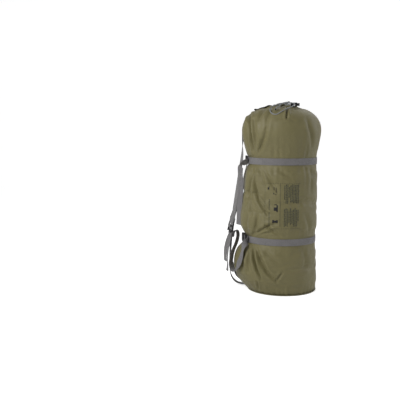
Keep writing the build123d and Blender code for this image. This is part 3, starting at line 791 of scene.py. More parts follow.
def relax_cloth(target, pins, shape):
    """Blows cloth against its pinned seams, with some to spare, so that it buckles as it fills."""
    rest = [v.co.copy() for v in target.data.vertices]
    group = target.vertex_groups.new(name="pins")
    for i, weight in enumerate(pins):
        group.add([i], weight, "REPLACE")
    cloth = target.modifiers.new("Cloth", "CLOTH")
    settings = cloth.settings
    settings.quality = 5
    settings.mass = 0.25
    settings.tension_stiffness = settings.compression_stiffness = 18
    settings.shear_stiffness = 6
    settings.bending_stiffness = 0.6
    settings.vertex_group_mass = "pins"
    settings.use_pressure = True
    settings.uniform_pressure_force = shape.fill_pressure
    settings.shrink_min = -shape.spare_cloth
    settings.effector_weights.gravity = 0
    scene = bpy.context.scene
    for step in range(1, shape.settle_frames + 1):
        scene.frame_set(step)
    shown = target.evaluated_get(bpy.context.evaluated_depsgraph_get())
    moved = [v.co.copy() for v in shown.data.vertices]
    target.modifiers.remove(cloth)
    scene.frame_set(1)
    cap = shape.settle_cap
    for vert, was, now, weight in zip(target.data.vertices, rest, moved, pins):
        step = (now - was) * (1 - weight)
        vert.co = was + (step.normalized() * cap * (1 - exp(-step.length / cap)) if step.length > 0 else step)
    target.vertex_groups.clear()


def make_bag(context):
    """The closed cloth body: filled, pinched by the straps and gathered at the mouth."""
    shape = context.scene.sack_shape
    source = bmesh.new()
    source.from_mesh(frame["nodes"]["main_panel"].data)
    panel = BVHTree.FromBMesh(source)
    source.free()
    levels = len(FLOOR_RINGS) + WALL_LEVELS + 1 + DOME_LEVELS + len(NECK_RINGS)
    bm = stacked_rings(BAG_SEGMENTS, levels, capped=True)
    weave = bm.loops.layers.uv.new("weave")
    for face in bm.faces:
        turns = [atan2(loop.vert.co.y, loop.vert.co.x) for loop in face.loops]
        wraps = max(turns) - min(turns) > pi
        for loop, turn in zip(face.loops, turns):
            if wraps and turn < 0:
                turn += 2 * pi
            loop[weave].uv = (turn * WEAVE_R, loop.vert.co.z * WEAVE_STEP)
    for vert in bm.verts:
        vert.co = bag_place(atan2(vert.co.y, vert.co.x), round(vert.co.z), panel)
    bag = piece("bag_cloth", bm, None, finish("olive_cloth"), ("main_panel", "packed_load"))
    pins = [1.0 - strap_press(v.co.z) for v in bag.data.vertices]
    relax_cloth(bag, pins, shape)
    smooth = finer(bag)
    mesh = bpy.data.meshes.new_from_object(bag.evaluated_get(context.evaluated_depsgraph_get()))
    bag.modifiers.remove(smooth)
    bag.data = mesh
    moves = []
    for vert in bag.data.vertices:
        x, y, z = vert.co
        free = strap_press(z)
        depth = clamped(-y / SIDE_FADE) * fold_depth(x, z, FRONT_FOLDS)
        depth += clamped(y / SIDE_FADE) * fold_depth(x, z, BACK_FOLDS)
        moves.append(pleated(vert.co, vert.normal) - vert.normal * depth * free)
    for vert, move in zip(bag.data.vertices, moves):
        vert.co += move
        for strap in STRAPS.values():
            away = abs(vert.co.z - strap.centre.z)
            flat = Vector((vert.co.x - strap.centre.x, vert.co.y, 0))
            limit = strap.bag_r - 0.0004 + max(0.0, away - PINCH_HALF) * PINCH_SLOPE
            if flat.length > limit:
                flat *= limit / flat.length
                vert.co.x, vert.co.y = strap.centre.x + flat.x, flat.y
    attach(bag, "root")
    return bag


CLEAR = 0.4  # a distance that is well outside the bag


# ---- pieces laid on the bag -----------------------------------------------------------------------------
def bag_surface():
    """The finished bag's outer surface, to lay things on."""
    return BVHTree.FromObject(bpy.data.objects["bag_cloth"], bpy.context.evaluated_depsgraph_get())


def struck(surface, start, way):
    """Where a ray strikes the bag, and the bag's outward normal there."""
    spot, normal, _, _ = surface.ray_cast(start, way)
    return spot, normal if normal.dot(way) < 0 else -normal


def beside(surface, theta, z, centre_x=NECK.x):
    """The bag's surface at an angle and height."""
    ray = ray_at(theta)
    return struck(surface, Vector((centre_x, 0, z)) + ray * CLEAR, -ray)


def before(surface, x, z):
    """The bag's surface straight behind a spot in front of it."""
    return struck(surface, Vector((x, -CLEAR, z)), Vector((0, 1, 0)))


def above(surface, x, y):
    """The bag's surface straight below a spot over it."""
    return struck(surface, Vector((x, y, CAD_BOX[1][2] + CLEAR)), Vector((0, 0, -1)))


def weave_uv(bm):
    """Lays the weave on a flat piece before it is shaped."""
    weave = bm.loops.layers.uv.new("weave")
    for face in bm.faces:
        for loop in face.loops:
            loop[weave].uv = loop.vert.co.xy


BASE_INSETS = (0.004, 0.016, 0.030, 0.030, 0.030)
BASE_FLAT_R = 0.12
PRESSED_HALF = 0.018  # half the stretch of seam that a lower webbing presses down


def make_base():
    """The round base, its bound seam, and the stitches above the seam."""
    bm = bmesh.new()
    bmesh.ops.create_circle(bm, segments=96, radius=FLOOR_RINGS[-1][0], cap_ends=True)
    for inset in BASE_INSETS:
        inner = max(bm.faces, key=lambda f: f.calc_area())
        bmesh.ops.inset_region(bm, faces=[inner], thickness=inset, use_even_offset=True)
    weave_uv(bm)
    for vert in bm.verts:
        raised = 0.0006 if vert.co.xy.length < BASE_FLAT_R else 0.0
        vert.co.z = 0.0006 + raised + 0.00025 * noise.noise(vert.co * 60)
    disc = piece("base_cloth", bm, "root", finish("base_cloth"), ("base_disc",))
    walled(disc, 0.0018, 1.0)
    rays = [ray_at(2 * pi * i / 360) for i in range(360)]
    places = stations([ray * SEAM_R + Vector((0, 0, SEAM_TUBE + 0.0001)) for ray in rays], rays)
    centres = [atan2(route[-1][0][1], route[-1][0][0]) % (2 * pi) for route in (NEAR_LOWER, FAR_LOWER)]

    def bound(angle, t):
        theta = 2 * pi * t
        pressed = 0.3 if min(abs(theta - c) * SEAM_R for c in centres) < PRESSED_HALF else 1.0
        wobble = 1 + 0.05 * noise.noise(Vector((cos(theta) * 40, sin(theta) * 40, angle)))
        y = SEAM_TUBE * sin(angle) * wobble
        return SEAM_TUBE * cos(angle) * wobble, y * (pressed if y < 0 else 0.98)
    bm = bmesh.new()
    sweep(bm, places, bound, 12, closed=True)
    piece("seam_binding", bm, "root", finish("seam_tape"), ("base_piping",))
    surface = bag_surface()
    bm = bmesh.new()
    for z in (0.0085, 0.0125):
        run = [beside(surface, 2 * pi * i / 240, z, 0.0) for i in range(241)]
        stitch_run(bm, *zip(*run))
    piece("base_stitches", bm, "root", finish("olive_thread"))


COLLAR_EDGE = [
    (-0.024, -0.017), (-0.040, -0.015), (-0.075, -0.016), (-0.100, -0.008), (-0.108, 0.012), (-0.098, 0.044),
    (-0.072, 0.066), (-0.030, 0.050), (-0.012, 0.025), (-0.027, 0.012), (-0.031, -0.003),
]
COLLAR_MIDDLE = Vector((-0.064, 0.020, 0))
COLLAR_RINGS = 12


def closed_line(points, per_span):
    """A smooth closed line through flat points."""
    n = len(points)
    line = smooth_line([(*points[i % n], 0) for i in range(-2, n + 3)], per_span)
    return line[2 * per_span:(n + 2) * per_span]


def make_collar():
    """The bound flap beside the mouth."""
    surface = bag_surface()
    edge = closed_line(COLLAR_EDGE, 8)
    bm = stacked_rings(len(edge), COLLAR_RINGS, capped=False)
    bound_edge = []
    for vert in bm.verts:
        share = 1 - vert.co.z / COLLAR_RINGS
        turn = atan2(vert.co.y, vert.co.x) % (2 * pi - 1e-6)
        i = round(turn / (2 * pi) * len(edge)) % len(edge)
        flat = COLLAR_MIDDLE.lerp(edge[i], share)
        spot, normal = above(surface, flat.x, flat.y)
        frill = 0.55 + 0.30 * sin(3 * turn + 0.6) + 0.15 * sin(7 * turn)
        lift = 0.0016 + 0.0062 * share ** 5 * frill * (0.35 + 0.65 * clamped((0.030 - flat.y) / 0.03))
        vert.co = spot + normal * (lift + 0.0006 * noise.noise(flat * 90))
        if share == 1:
            bound_edge.append((i, vert.co.copy(), normal))
    weave_uv(bm)
    flap = piece("mouth_flap", bm, "root", finish("olive_cloth"), ("mouth_collar",))
    walled(flap, 0.0009)
    finer(flap)
    bound_edge.sort(key=lambda row: row[0])
    bm = bmesh.new()

    def folded(angle, _):
        return 0.0013 * cos(angle), 0.0026 * sin(angle)
    _, line, normals = zip(*bound_edge)
    sweep(bm, stations(line, normals), folded, 12, closed=True)
    bound = piece("flap_binding", bm, "root", finish("black_tape"), ("collar_binding",))


# ---- drawcord -------------------------------------------------------------------------------------------
LOCK_PLACE = Vector((0.038, -0.052, 0.705))
STRAND_HALF = 0.00215
KNOT_PLACE, KNOT_ACROSS, KNOT_DEPTH = Vector((-0.012, -0.075, 0.706)), 0.0015, 0.0022
KNOT_POINTS = 96
LOOP_LENGTH, TAIL_A_LENGTH, TAIL_B_LENGTH = 0.268, 0.0377, 0.0337
TIP_PROFILE = [(-0.0034, 0.0019), (-0.0033, 0.0024), (-0.0026, 0.0026), (-0.0012, 0.0026), (-0.0009, 0.0023),
               (-0.0003, 0.0023), (0.0, 0.0026), (0.0024, 0.0025), (0.0032, 0.0021), (0.0035, 0.0012)]


def nurbs_line(points):
    """The points that a smooth cord follows."""
    curve = bpy.data.curves.new("cord_route", "CURVE")
    curve.dimensions = "3D"
    curve.resolution_u = 10
    spline = curve.splines.new("NURBS")
    spline.points.add(len(points) - 1)
    for point, spot in zip(spline.points, points):
        point.co = (*spot, 1)
    spline.use_endpoint_u = True
    spline.order_u = 3
    route = bpy.data.objects.new("cord_route", curve)
    bpy.context.scene.collection.objects.link(route)
    bpy.context.view_layer.update()
    mesh = bpy.data.meshes.new_from_object(route)
    line = [v.co.copy() for v in mesh.vertices]
    bpy.data.objects.remove(route)
    bpy.data.curves.remove(curve)
    bpy.data.meshes.remove(mesh)
    return line


def braided(name, line, body, replaces, radius=CORD / 2):
    bm = bmesh.new()
    sweep(bm, cord_stations(line), round_section(radius), 14)
    return piece(name, bm, body, finish("grey_cord"), replaces)


def strand_route(side):
    """One end of the hem cord, from the channel's mouth through the lock."""
    angle = radians(MOUTH_EXIT_DEG + side * MOUTH_EXIT_HALF)
    root = Vector((NECK.x + CHANNEL_R * cos(angle), CHANNEL_R * sin(angle), CHANNEL_Z))
    along = Vector((sin(angle), -cos(angle), 0)) * side
    height = LOCK_PLACE.z + side * STRAND_HALF
    bend = root + along * 0.009 + Vector((0, 0, side * STRAND_HALF))
    return [root, bend, Vector((LOCK_PLACE.x, -0.038, height)), Vector((LOCK_PLACE.x, -0.060, height))]


def make_cords():
    """The drawcord's two strands, its free loop, its knot and its two tails with tips."""
    for name, side in (("upper", 1), ("lower", -1)):
        line = nurbs_line(strand_route(side))
        strand = braided(f"strand_{name}", line, "root", (f"lock_strand_{name}",))
    knot_turn = Matrix.Rotation(0.6, 3, "X")
    knot_line = []
    for i in range(KNOT_POINTS + 1):
        t = 2 * pi * i / KNOT_POINTS
        flat = Vector((sin(t) + 2 * sin(2 * t), cos(t) - 2 * cos(2 * t), 0)) * KNOT_ACROSS
        knot_line.append(KNOT_PLACE + knot_turn @ (flat - Vector((0, 0, KNOT_DEPTH * sin(3 * t)))))
    knot = braided("loop_knot", knot_line, "root", ("cord_knot",), 0.00185)
    for name, route in (("a", TAIL_A_ROUTE), ("b", TAIL_B_ROUTE)):
        end, ahead = Vector(route[-1]), (Vector(route[-1]) - Vector(route[-2])).normalized()
        middle = frame_matrix(end + ahead * 0.0036, ahead.orthogonal(), ahead)
        places = [middle @ Matrix.Translation((0, 0, z)) for z, _ in TIP_PROFILE]
        radii = [r for _, r in TIP_PROFILE]
        bm = bmesh.new()

        def tapered(angle, t):
            r = radii[round(t * (len(radii) - 1))]
            return r * cos(angle), r * sin(angle)
        sweep(bm, places, tapered, 20)
        piece(f"cord_tip_{name}", bm, "root", finish("black_plastic"),
                           ("cord_tips",))
    line = nurbs_line(LOOP_ROUTE)
    loop = braided("cord_loop", line, "root", ("draw_cord",))
    for name, route, length in (("a", TAIL_A_ROUTE, TAIL_A_LENGTH), ("b", TAIL_B_ROUTE, TAIL_B_LENGTH)):
        line = nurbs_line(route)
        tail = braided(f"loop_tail_{name}", line, "root", (f"cord_tail_{name}",))


def make_mouth():
    """The gathered channel round the neck."""
    start = radians(MOUTH_EXIT_DEG + MOUTH_EXIT_HALF)
    turn = 2 * pi - 2 * radians(MOUTH_EXIT_HALF)
    middle = Vector((NECK.x, 0, CHANNEL_Z))

    def rays(count):
        return [ray_at(start + turn * i / (count - 1)) for i in range(count)]
    widths = rays(241)

    def puckered(angle, t):
        gather = sin(2 * pi * 27 * t + 2.2 * sin(9 * t) + 0.5 * sin(angle))
        close = min(1.0, t / 0.012, (1 - t) / 0.012)
        r = (CHANNEL_TUBE - 0.0007 + 0.0006 * gather) * (0.62 + 0.38 * close)
        return r * cos(angle), r * sin(angle) * 1.02
    bm = bmesh.new()
    sweep(bm, stations([middle + ray * CHANNEL_R for ray in widths], widths), puckered, 24)
    weave = bm.loops.layers.uv.new("weave")
    along, around = bm.verts.layers.float["along"], bm.verts.layers.float["around"]
    for face in bm.faces:
        for loop in face.loops:
            loop[weave].uv = (loop.vert[along], loop.vert[around] * 0.026)
    piece("mouth_channel", bm, "root", finish("olive_cloth"), ("drawcord_channel", "hem_cord"))
    bm = bmesh.new()
    sewn = rays(200)
    outs = [(ray + Vector((0, 0, 1.6))).normalized() for ray in sewn]
    run = [middle + ray * CHANNEL_R + out * (CHANNEL_TUBE - 0.0002) for ray, out in zip(sewn, outs)]
    stitch_run(bm, run, outs)
    piece("channel_stitches", bm, "root", finish("olive_thread"))


# ---- straps and buckles ---------------------------------------------------------------------------------
SOCKET_BAR, LATCH_BAR = (-0.004, -0.00305), (0.062, -0.006)
SOCKET_FOLD = [(0.0046, -0.00305), (0.0046, 0.00305), (-0.004, 0.00305), (-0.013, -0.0044)]
SOCKET_RADII = [0.012, 0.0012, 0.0012, 0.006]
LATCH_FOLD = [(0.0433, -0.005), (0.0433, 0.00305), (0.0502, 0.00305), (0.0502, -0.003), (0.0535, -0.00345),
              (0.0615, -0.0036)]
LATCH_RADII = [0.020, 0.0012, 0.0012, 0.0012, 0.001, 0.003]
TAIL_START = [(0.062, 0, -0.0036), (0.0675, 0, -0.0038)]
RUN_TURN, RUN_END = radians(24), 0.0655  # the stretch of strap that bends as its latch slides out
KEEPER_DEGS = (48.0, 108.0)


def make_straps():
    """The two compression straps, threaded through their buckles, with tails and sewn keepers."""
    surface = bag_surface()
    up = Vector((0, 0, 1))
    for name, strap in STRAPS.items():
        socket_spot, socket_turn = strap.tangent_spot(SOCKET_BAR)
        latch_spot, latch_turn = strap.tangent_spot(LATCH_BAR)

        def ring(first, last, strap=strap):
            count = ceil((last - first) * strap.lay / 0.0028)
            angles = [strap.turn + first + (last - first) * i / count for i in range(count + 1)]
            return [strap.centre + ray_at(a) * strap.lay for a in angles]
        hold = latch_turn + RUN_TURN

        def upright(line):
            return stations(line, [up] * len(line))
        ribbon(f"{name}_strap_ring", upright(ring(hold, 2 * pi - socket_turn)), "root", f"{name}_strap")
        matrix, latch = strap.plane, f"{name}_latch"
        threaded = rounded_corners([latch_spot, LATCH_BAR, *LATCH_FOLD], LATCH_RADII)
        threaded = [matrix @ Vector((p.x, 0, p.y)) for p in even(threaded, 0.002)]
        split = max(i for i, p in enumerate(threaded) if (matrix.inverted() @ p).x > RUN_END)
        run = ring(latch_turn, hold)[::-1] + threaded[1:split + 1]
        lead = ribbon(f"{name}_strap_run", upright(run), None)
        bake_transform(lead, "root", f"{name}_latch", start=run[0], end=run[-1])
        ribbon(f"{name}_strap_fold", upright(threaded[split:]), latch, f"{name}_strap_lead")
        tail_route = [(matrix @ Vector(spot), up) for spot in TAIL_START]
        tail_route += UPPER_TAIL if name == "upper" else LOWER_TAIL
        ribbon(f"{name}_strap_end", route_stations(tail_route, 7), latch, f"{name}_strap_tail")
        fold_places = threaded_stations(matrix, [socket_spot, SOCKET_BAR, *SOCKET_FOLD], SOCKET_RADII)
        ribbon(f"{name}_socket_fold", fold_places, "root", f"{name}_socket_loop")
        bm = bmesh.new()
        keepers = bmesh.new()
        for deg in KEEPER_DEGS:
            theta = radians(deg)
            ray, across = ray_at(theta), side_at(theta)
            line = []
            for i in range(33):
                dz = -0.0225 + 0.045 * i / 32
                spot, _ = beside(surface, theta, strap.centre.z + dz, strap.centre.x)
                reach = (spot - strap.centre).xy.length + 0.0008
                arch = strap.bag_r + 0.0034 - max(0.0, abs(dz) - PINCH_HALF) * PINCH_SLOPE
                line.append(strap.centre + ray * max(reach, arch) + up * dz)
            sweep(keepers, stations(line, [across] * len(line)), flat_section(0.020, 0.0013), 16)
            for end in (0, 24):
                foot = line[end + 1:end + 8]
                for shift in (-0.008, 0.0, 0.008):
                    stitch_run(bm, [p + across * shift + ray * 0.0007 for p in foot], [ray] * len(foot))
        piece(f"{name}_keepers", keepers, "root", finish("grey_webbing"),
              (f"{name}_strap_keepers",))
        for shift in (-0.009, -0.0045, 0.0, 0.0045, 0.009):
            place = matrix @ Matrix.Translation((-0.0085, 0, -0.0005))
            a, b = place @ Vector((-0.0045, shift, 0)), place @ Vector((0.0035, shift, 0.0024))
            out = matrix.to_3x3() @ Vector((0, 0, 1))
            stitch_run(bm, [a + out * 0.0012, b + out * 0.0012], [out, out])
        piece(f"{name}_strap_stitches", bm, "root", finish("grey_thread"))


# ---- shoulder harness -----------------------------------------------------------------------------------
HARNESS = {
    "near": {"place": lock_matrix(Vector((-0.193, 0.016, 0.246)), 203), "shoulder": NEAR_SHOULDER,
             "lower": NEAR_LOWER, "tail": NEAR_TAIL},
    "far": {"place": lock_matrix(Vector((-0.201, 0.056, 0.248)), 211), "shoulder": FAR_SHOULDER,
            "lower": FAR_LOWER, "tail": FAR_TAIL},
}
LOCK_LOOP = [(-0.022, -0.0032), (-0.008, -0.00265), (0.0053, -0.00265), (0.0053, 0.00265), (-0.008, 0.00265),
             (-0.022, 0.0032)]
LOCK_LOOP_RADII = [0.006, 0.0011, 0.0011, 0.006]
ADJUSTER = [(0.048, -0.0056), (0.024, -0.0042), (0.0152, -0.0042), (0.0152, 0.00275), (0.0223, 0.00275),
            (0.0223, -0.0022), (0.027, -0.0024), (0.048, -0.0036)]
ADJUSTER_RADII = [0.008, 0.0012, 0.0011, 0.0011, 0.001, 0.004]
LOWER_HOLD = (-0.203, 0.02, 0.100)  # below here a lower webbing stays still as its lock tilts
PATCH_DEG, PATCH_X, PATCH_HALF, PATCH_LOW, PATCH_HIGH = 150.0, -0.008, 0.065, 0.605, 0.651


def make_harness():
    """The sewn patch, two shoulder straps, their ladder locks' webbing and the lower webbings."""
    surface = bag_surface()
    a = radians(PATCH_DEG)
    out, across = ray_at(a), side_at(a)

    def on_patch(u, z, lift):
        spot, normal = struck(surface, Vector((PATCH_X, 0, z)) + across * u + out * CLEAR, -out)
        return spot + normal * lift, normal
    bm = bmesh.new()
    bmesh.ops.create_grid(bm, x_segments=44, y_segments=16, size=0.5)
    for vert in bm.verts:
        vert.co = Vector((vert.co.x * 2 * PATCH_HALF, vert.co.y * (PATCH_HIGH - PATCH_LOW), 0))
    weave_uv(bm)
    middle = (PATCH_LOW + PATCH_HIGH) / 2
    for vert in bm.verts:
        vert.co, _ = on_patch(vert.co.x, middle + vert.co.y, 0.0010)
    patch = piece("harness_backing", bm, "root", finish("black_cloth"), ("harness_patch",))
    walled(patch, 0.0012)
    bm = bmesh.new()
    for inset in (0.003, 0.006):
        u, low, high = PATCH_HALF - inset, PATCH_LOW + inset, PATCH_HIGH - inset
        corners = [(-u, low), (u, low), (u, high), (-u, high), (-u, low)]
        for (u0, z0), (u1, z1) in zip(corners, corners[1:]):
            run = [on_patch(u0 + (u1 - u0) * i / 30, z0 + (z1 - z0) * i / 30, 0.0017) for i in range(31)]
            stitch_run(bm, *zip(*run))
    piece("backing_stitches", bm, "root", finish("grey_thread"))
    for name, parts in HARNESS.items():
        matrix, lock = parts["place"], f"{name}_ladder_lock"
        places = route_stations(parts["shoulder"], 10)
        ribbon(f"{name}_shoulder_webbing", places, "root", f"{name}_shoulder_strap",
               slot="shoulder_webbing", width=SHOULDER, thickness=SHOULDER_T)
        bm = bmesh.new()
        for sewn, size in ((places[:9], 0.030), (places[-8:], 0.018)):
            out_here = Vector((sewn[0].translation.x - PATCH_X, sewn[0].translation.y, 0))
            facing = [m.to_3x3() @ Vector((0, 1, 0)) for m in sewn]
            facing = [f if f.dot(out_here) > 0 else -f for f in facing]
            last = len(sewn) - 1

            def sewn_spot(i, side, sewn=sewn, size=size, facing=facing):
                across_webbing = sewn[i].to_3x3() @ Vector((1, 0, 0))
                return sewn[i].translation + across_webbing * (size / 2 * side) + facing[i] * (SHOULDER_T / 2)
            for s0, s1 in ((-1, -1), (1, 1), (-1, 1), (1, -1)):
                stitch_run(bm, [sewn_spot(i, s0 + (s1 - s0) * i / last) for i in range(last + 1)], facing)
            for i in (0, last):
                stitch_run(bm, [sewn_spot(i, side) for side in (-1, 1)], [facing[i], facing[i]])
        piece(f"{name}_shoulder_stitches", bm, "root", finish("grey_thread"))
        ribbon(f"{name}_lock_fold", threaded_stations(matrix, LOCK_LOOP, LOCK_LOOP_RADII), "root",
               f"{name}_lock_loop")
        ribbon(f"{name}_adjuster", threaded_stations(matrix, ADJUSTER, ADJUSTER_RADII), lock,
               f"{name}_adjuster_fold")
        ribbon(f"{name}_adjuster_end", route_stations(parts["tail"], 8), lock, f"{name}_adjuster_tail")
        lower = ribbon(f"{name}_lower_run", route_stations(parts["lower"], 8), None, f"{name}_lower_webbing")
        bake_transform(lower, "root", lock, start=LOWER_HOLD, end=parts["lower"][0][0])


# ---- printed panel --------------------------------------------------------------------------------------
PRINT_SEED = 11
MARK_LIFT = 0.00035


# Plain symbols beside the notes, each a row of boxes (x0, z0, x1, z1).
SYMBOLS = [
    (-0.036, 0.275, -0.030, 0.286), (-0.030, 0.277, -0.022, 0.284), (-0.022, 0.275, -0.016, 0.286),
    (-0.031, 0.320, -0.020, 0.332), (-0.0215, 0.316, -0.0165, 0.340), (-0.029, 0.340, -0.020, 0.343),
    (-0.054, 0.397, -0.048, 0.405), (-0.050, 0.405, -0.048, 0.410), (-0.0335, 0.380, -0.030, 0.385),
    (-0.028, 0.378, -0.022, 0.380), (-0.032, 0.395, -0.030, 0.406), (-0.024, 0.386, -0.022, 0.404),
]


def print_marks(rng):
    """Each printed mark's box: rows of dashes that stand for care notes, and broken rules round them."""
    marks = []
    for low, high, count in ((0.345, 0.417, 10), (0.262, 0.330, 10)):
        for i in range(count):
            x = 0.006 + 0.0055 * i
            z = high - rng() * 0.010
            end = low + rng() * rng() * 0.030
            while z > end:
                length = 0.0025 + 0.0065 * rng()
                marks.append((x, max(low, z - length), x + 0.0032, z))
                z -= length + 0.0016
    for low, high in ((0.262, 0.314), (0.326, 0.362)):
        z = high
        while z > low:
            length = 0.002 + 0.005 * rng()
            marks.append((-0.0490, z - length, -0.0464, z))
            z -= length + 0.0016
    marks.append((-0.0088, 0.262, -0.0076, 0.418))
    for i in range(26):
        z = 0.418 - i * 0.0064
        marks.append((-0.0640, z - 0.0028, -0.0630, z))
        if i < 20:
            marks.append((-0.060 + i * 0.0063, 0.4190, -0.0568 + i * 0.0063, 0.4200))
            marks.append((-0.060 + i * 0.0063, 0.2540, -0.0568 + i * 0.0063, 0.2550))
    return marks


def printed(name, marks, surface, ink):
    """Marks laid on the front of the bag, each a thin patch of ink."""
    bm = bmesh.new()
    for x0, z0, x1, z1 in marks:
        columns, rows = max(1, ceil((x1 - x0) / 0.004)), max(1, ceil((z1 - z0) / 0.004))
        grid = bmesh.ops.create_grid(bm, x_segments=columns, y_segments=rows, size=0.5)["verts"]
        for vert in grid:
            x, z = x0 + (vert.co.x + 0.5) * (x1 - x0), z0 + (vert.co.y + 0.5) * (z1 - z0)
            spot, normal = before(surface, x, z)
            vert.co = spot + normal * MARK_LIFT
    walled(piece(name, bm, "root", ink), 0.0003, -1.0)


def make_print():
    """The faded panel of care notes on the front, as dashes and plain symbols with no lettering."""
    surface = bag_surface()
    printed("care_print", print_marks(Random(PRINT_SEED).random), surface, finish("faded_ink"))
    printed("care_symbols", SYMBOLS, surface, finish("black_ink"))


def dress_fittings():
    """Gives buckles, ladder locks, the cord lock and eyelets their own finishes."""
    dressed([n for n in frame["nodes"] if n.endswith(("_socket", "_latch", "_latch_prongs", "_ladder_lock"))],
            finish("black_plastic"))
    dressed(["cord_lock_body", "cord_lock_button"], finish("black_plastic"))
    dressed(["cord_lock_spring"], finish("spring_steel"))
    dressed(["mouth_eyelets"], finish("dark_eyelet"))


# ---- finishes -------------------------------------------------------------------------------------------
MADE = {}


def finish(kind):
    """The named material, made the first time that a piece asks for it."""
    looks = bpy.context.scene.sack_looks
    makers = {
        "olive_cloth": lambda: cloth_material("coated_olive_cloth", looks.cloth, 1.0),
        "base_cloth": lambda: cloth_material("coated_base_cloth", darker(looks.cloth, 0.8), 0.6),
        "black_cloth": lambda: cloth_material("black_backing_cloth", looks.binding, 0.4),
        "seam_tape": lambda: tape_material("olive_seam_tape", darker(looks.cloth, 0.8)),
        "black_tape": lambda: tape_material("black_edge_tape", looks.binding),
        "grey_webbing": lambda: webbing_material("grey_strap_webbing", looks.webbing),
        "shoulder_webbing": lambda: webbing_material("grey_shoulder_webbing", looks.shoulder),
        "grey_cord": lambda: cord_material("grey_braided_cord", looks.cord),
        "grey_thread": lambda: thread_material("grey_thread", looks.thread),
        "olive_thread": lambda: thread_material("olive_thread", darker(looks.cloth, 0.7)),
        "black_plastic": lambda: moulded_material("moulded_black_plastic", looks.plastic, 0.42),
        "spring_steel": lambda: metal_material("drawn_spring_steel", (0.56, 0.55, 0.53), 0.3),
        "dark_eyelet": lambda: metal_material("blackened_eyelet", (0.10, 0.10, 0.10), 0.38),
        "faded_ink": lambda: ink_material("faded_print_ink", looks.ink),
        "black_ink": lambda: ink_material("black_print_ink", looks.binding),
    }
    if kind not in MADE:
        MADE[kind] = makers[kind]()
    return MADE[kind]


# ---- stage ----------------------------------------------------------------------------------------------
# Each light's azimuth and elevation in degrees, its distance and its size.
LIGHTS = {"soft_key": (-134, 30, 2.6, 0.9), "rim": (12, 18, 2.4, 1.2), "back_fill": (60, 40, 3.0, 2.0)}
LIGHT_AIM = Vector((0.0, 0.0, 0.35))
SWEEP_HALF, SWEEP_FRONT, SWEEP_BACK, SWEEP_R, SWEEP_TOP = 7, -6, 3.0, 1.5, 6.0
PAPER_GLOW = 0.62


def area_light(name, power):
    azimuth, elevation, distance, size = LIGHTS[name]
    light = bpy.data.lights.new(name, "AREA")
    light.shape = "SQUARE"
    light.size, light.energy = size, power
    lamp = bpy.data.objects.new(name, light)
    bpy.context.scene.collection.objects.link(lamp)
    e = radians(elevation)
    out = ray_at(radians(azimuth)) * cos(e) + Vector((0, 0, sin(e)))
    lamp.location = LIGHT_AIM + out * distance
    lamp.rotation_euler = out.to_track_quat("Z", "Y").to_euler()


def make_stage(context):
    """The pale sweep, its soft lights and the camera."""
    stage = context.scene.sack_stage
    bm = bmesh.new()
    profile = [(SWEEP_FRONT, 0), (SWEEP_BACK, 0)]
    for i in range(1, 13):
        turn = i * pi / 24
        profile.append((SWEEP_BACK + SWEEP_R * sin(turn), SWEEP_R - SWEEP_R * cos(turn)))
    profile.append((SWEEP_BACK + SWEEP_R, SWEEP_TOP))
    verts = [bm.verts.new((-SWEEP_HALF, y, z - 0.0005)) for y, z in profile]
    edges = [bm.edges.new(pair) for pair in zip(verts, verts[1:])]
    grown = bmesh.ops.extrude_edge_only(bm, edges=edges)["geom"]
    far_side = [g for g in grown if isinstance(g, bmesh.types.BMVert)]
    bmesh.ops.translate(bm, vec=(2 * SWEEP_HALF, 0, 0), verts=far_side)
    mesh = bpy.data.meshes.new("pale_sweep")
    bm.to_mesh(mesh)
    bm.free()
    for face in mesh.polygons:
        face.use_smooth = True
    floor = bpy.data.objects.new("pale_sweep", mesh)
    context.scene.collection.objects.link(floor)
    made, tree, shader = blank_material("pale_paper", 0.9, specular=0.1)
    fibres = noise_node(tree, object_coordinates(tree), 8.0, 3.0, 0.5)
    white = mixed(tree, fibres, (0.94, 0.94, 0.94), (0.97, 0.97, 0.97))
    finish_material(tree, shader, white, bumped(tree, fibres, 0.0005, 0.1))
    shader.inputs["Emission Color"].default_value = (1, 1, 1, 1)
    seen = shader_node(tree, "ShaderNodeLightPath").outputs["Is Camera Ray"]
    tree.links.new(math_node(tree, "MULTIPLY", seen, PAPER_GLOW), shader.inputs["Emission Strength"])
    mesh.materials.append(made)
    world = context.scene.world or bpy.data.worlds.new("studio")
    context.scene.world = world
    world.use_nodes = True
    sky = world.node_tree
    background = sky.nodes["Background"]
    background.inputs["Color"].default_value = (1, 1, 1, 1)
    seen = shader_node(sky, "ShaderNodeLightPath").outputs["Is Camera Ray"]
    sky.links.new(math_node(sky, "MAXIMUM", seen, stage.fill_light), background.inputs["Strength"])
    area_light("soft_key", stage.key_power)
    area_light("rim", stage.rim_power)
    area_light("back_fill", stage.back_power)
    lens = bpy.data.cameras.new("camera")
    lens.angle = stage.view_angle
    camera = bpy.data.objects.new("camera", lens)
    context.scene.collection.objects.link(camera)
    camera.location = (0, -stage.distance, stage.height)
    camera.rotation_euler = (pi / 2 - stage.pitch, 0, stage.yaw)
    context.scene.camera = camera
    context.scene.view_settings.view_transform = "Standard"


# ---- add-on ---------------------------------------------------------------------------------------------
def colour_property(name, description, default):
    return FloatVectorProperty(name=name, description=description, default=default, subtype="COLOR", size=3,
                               min=0, max=1)


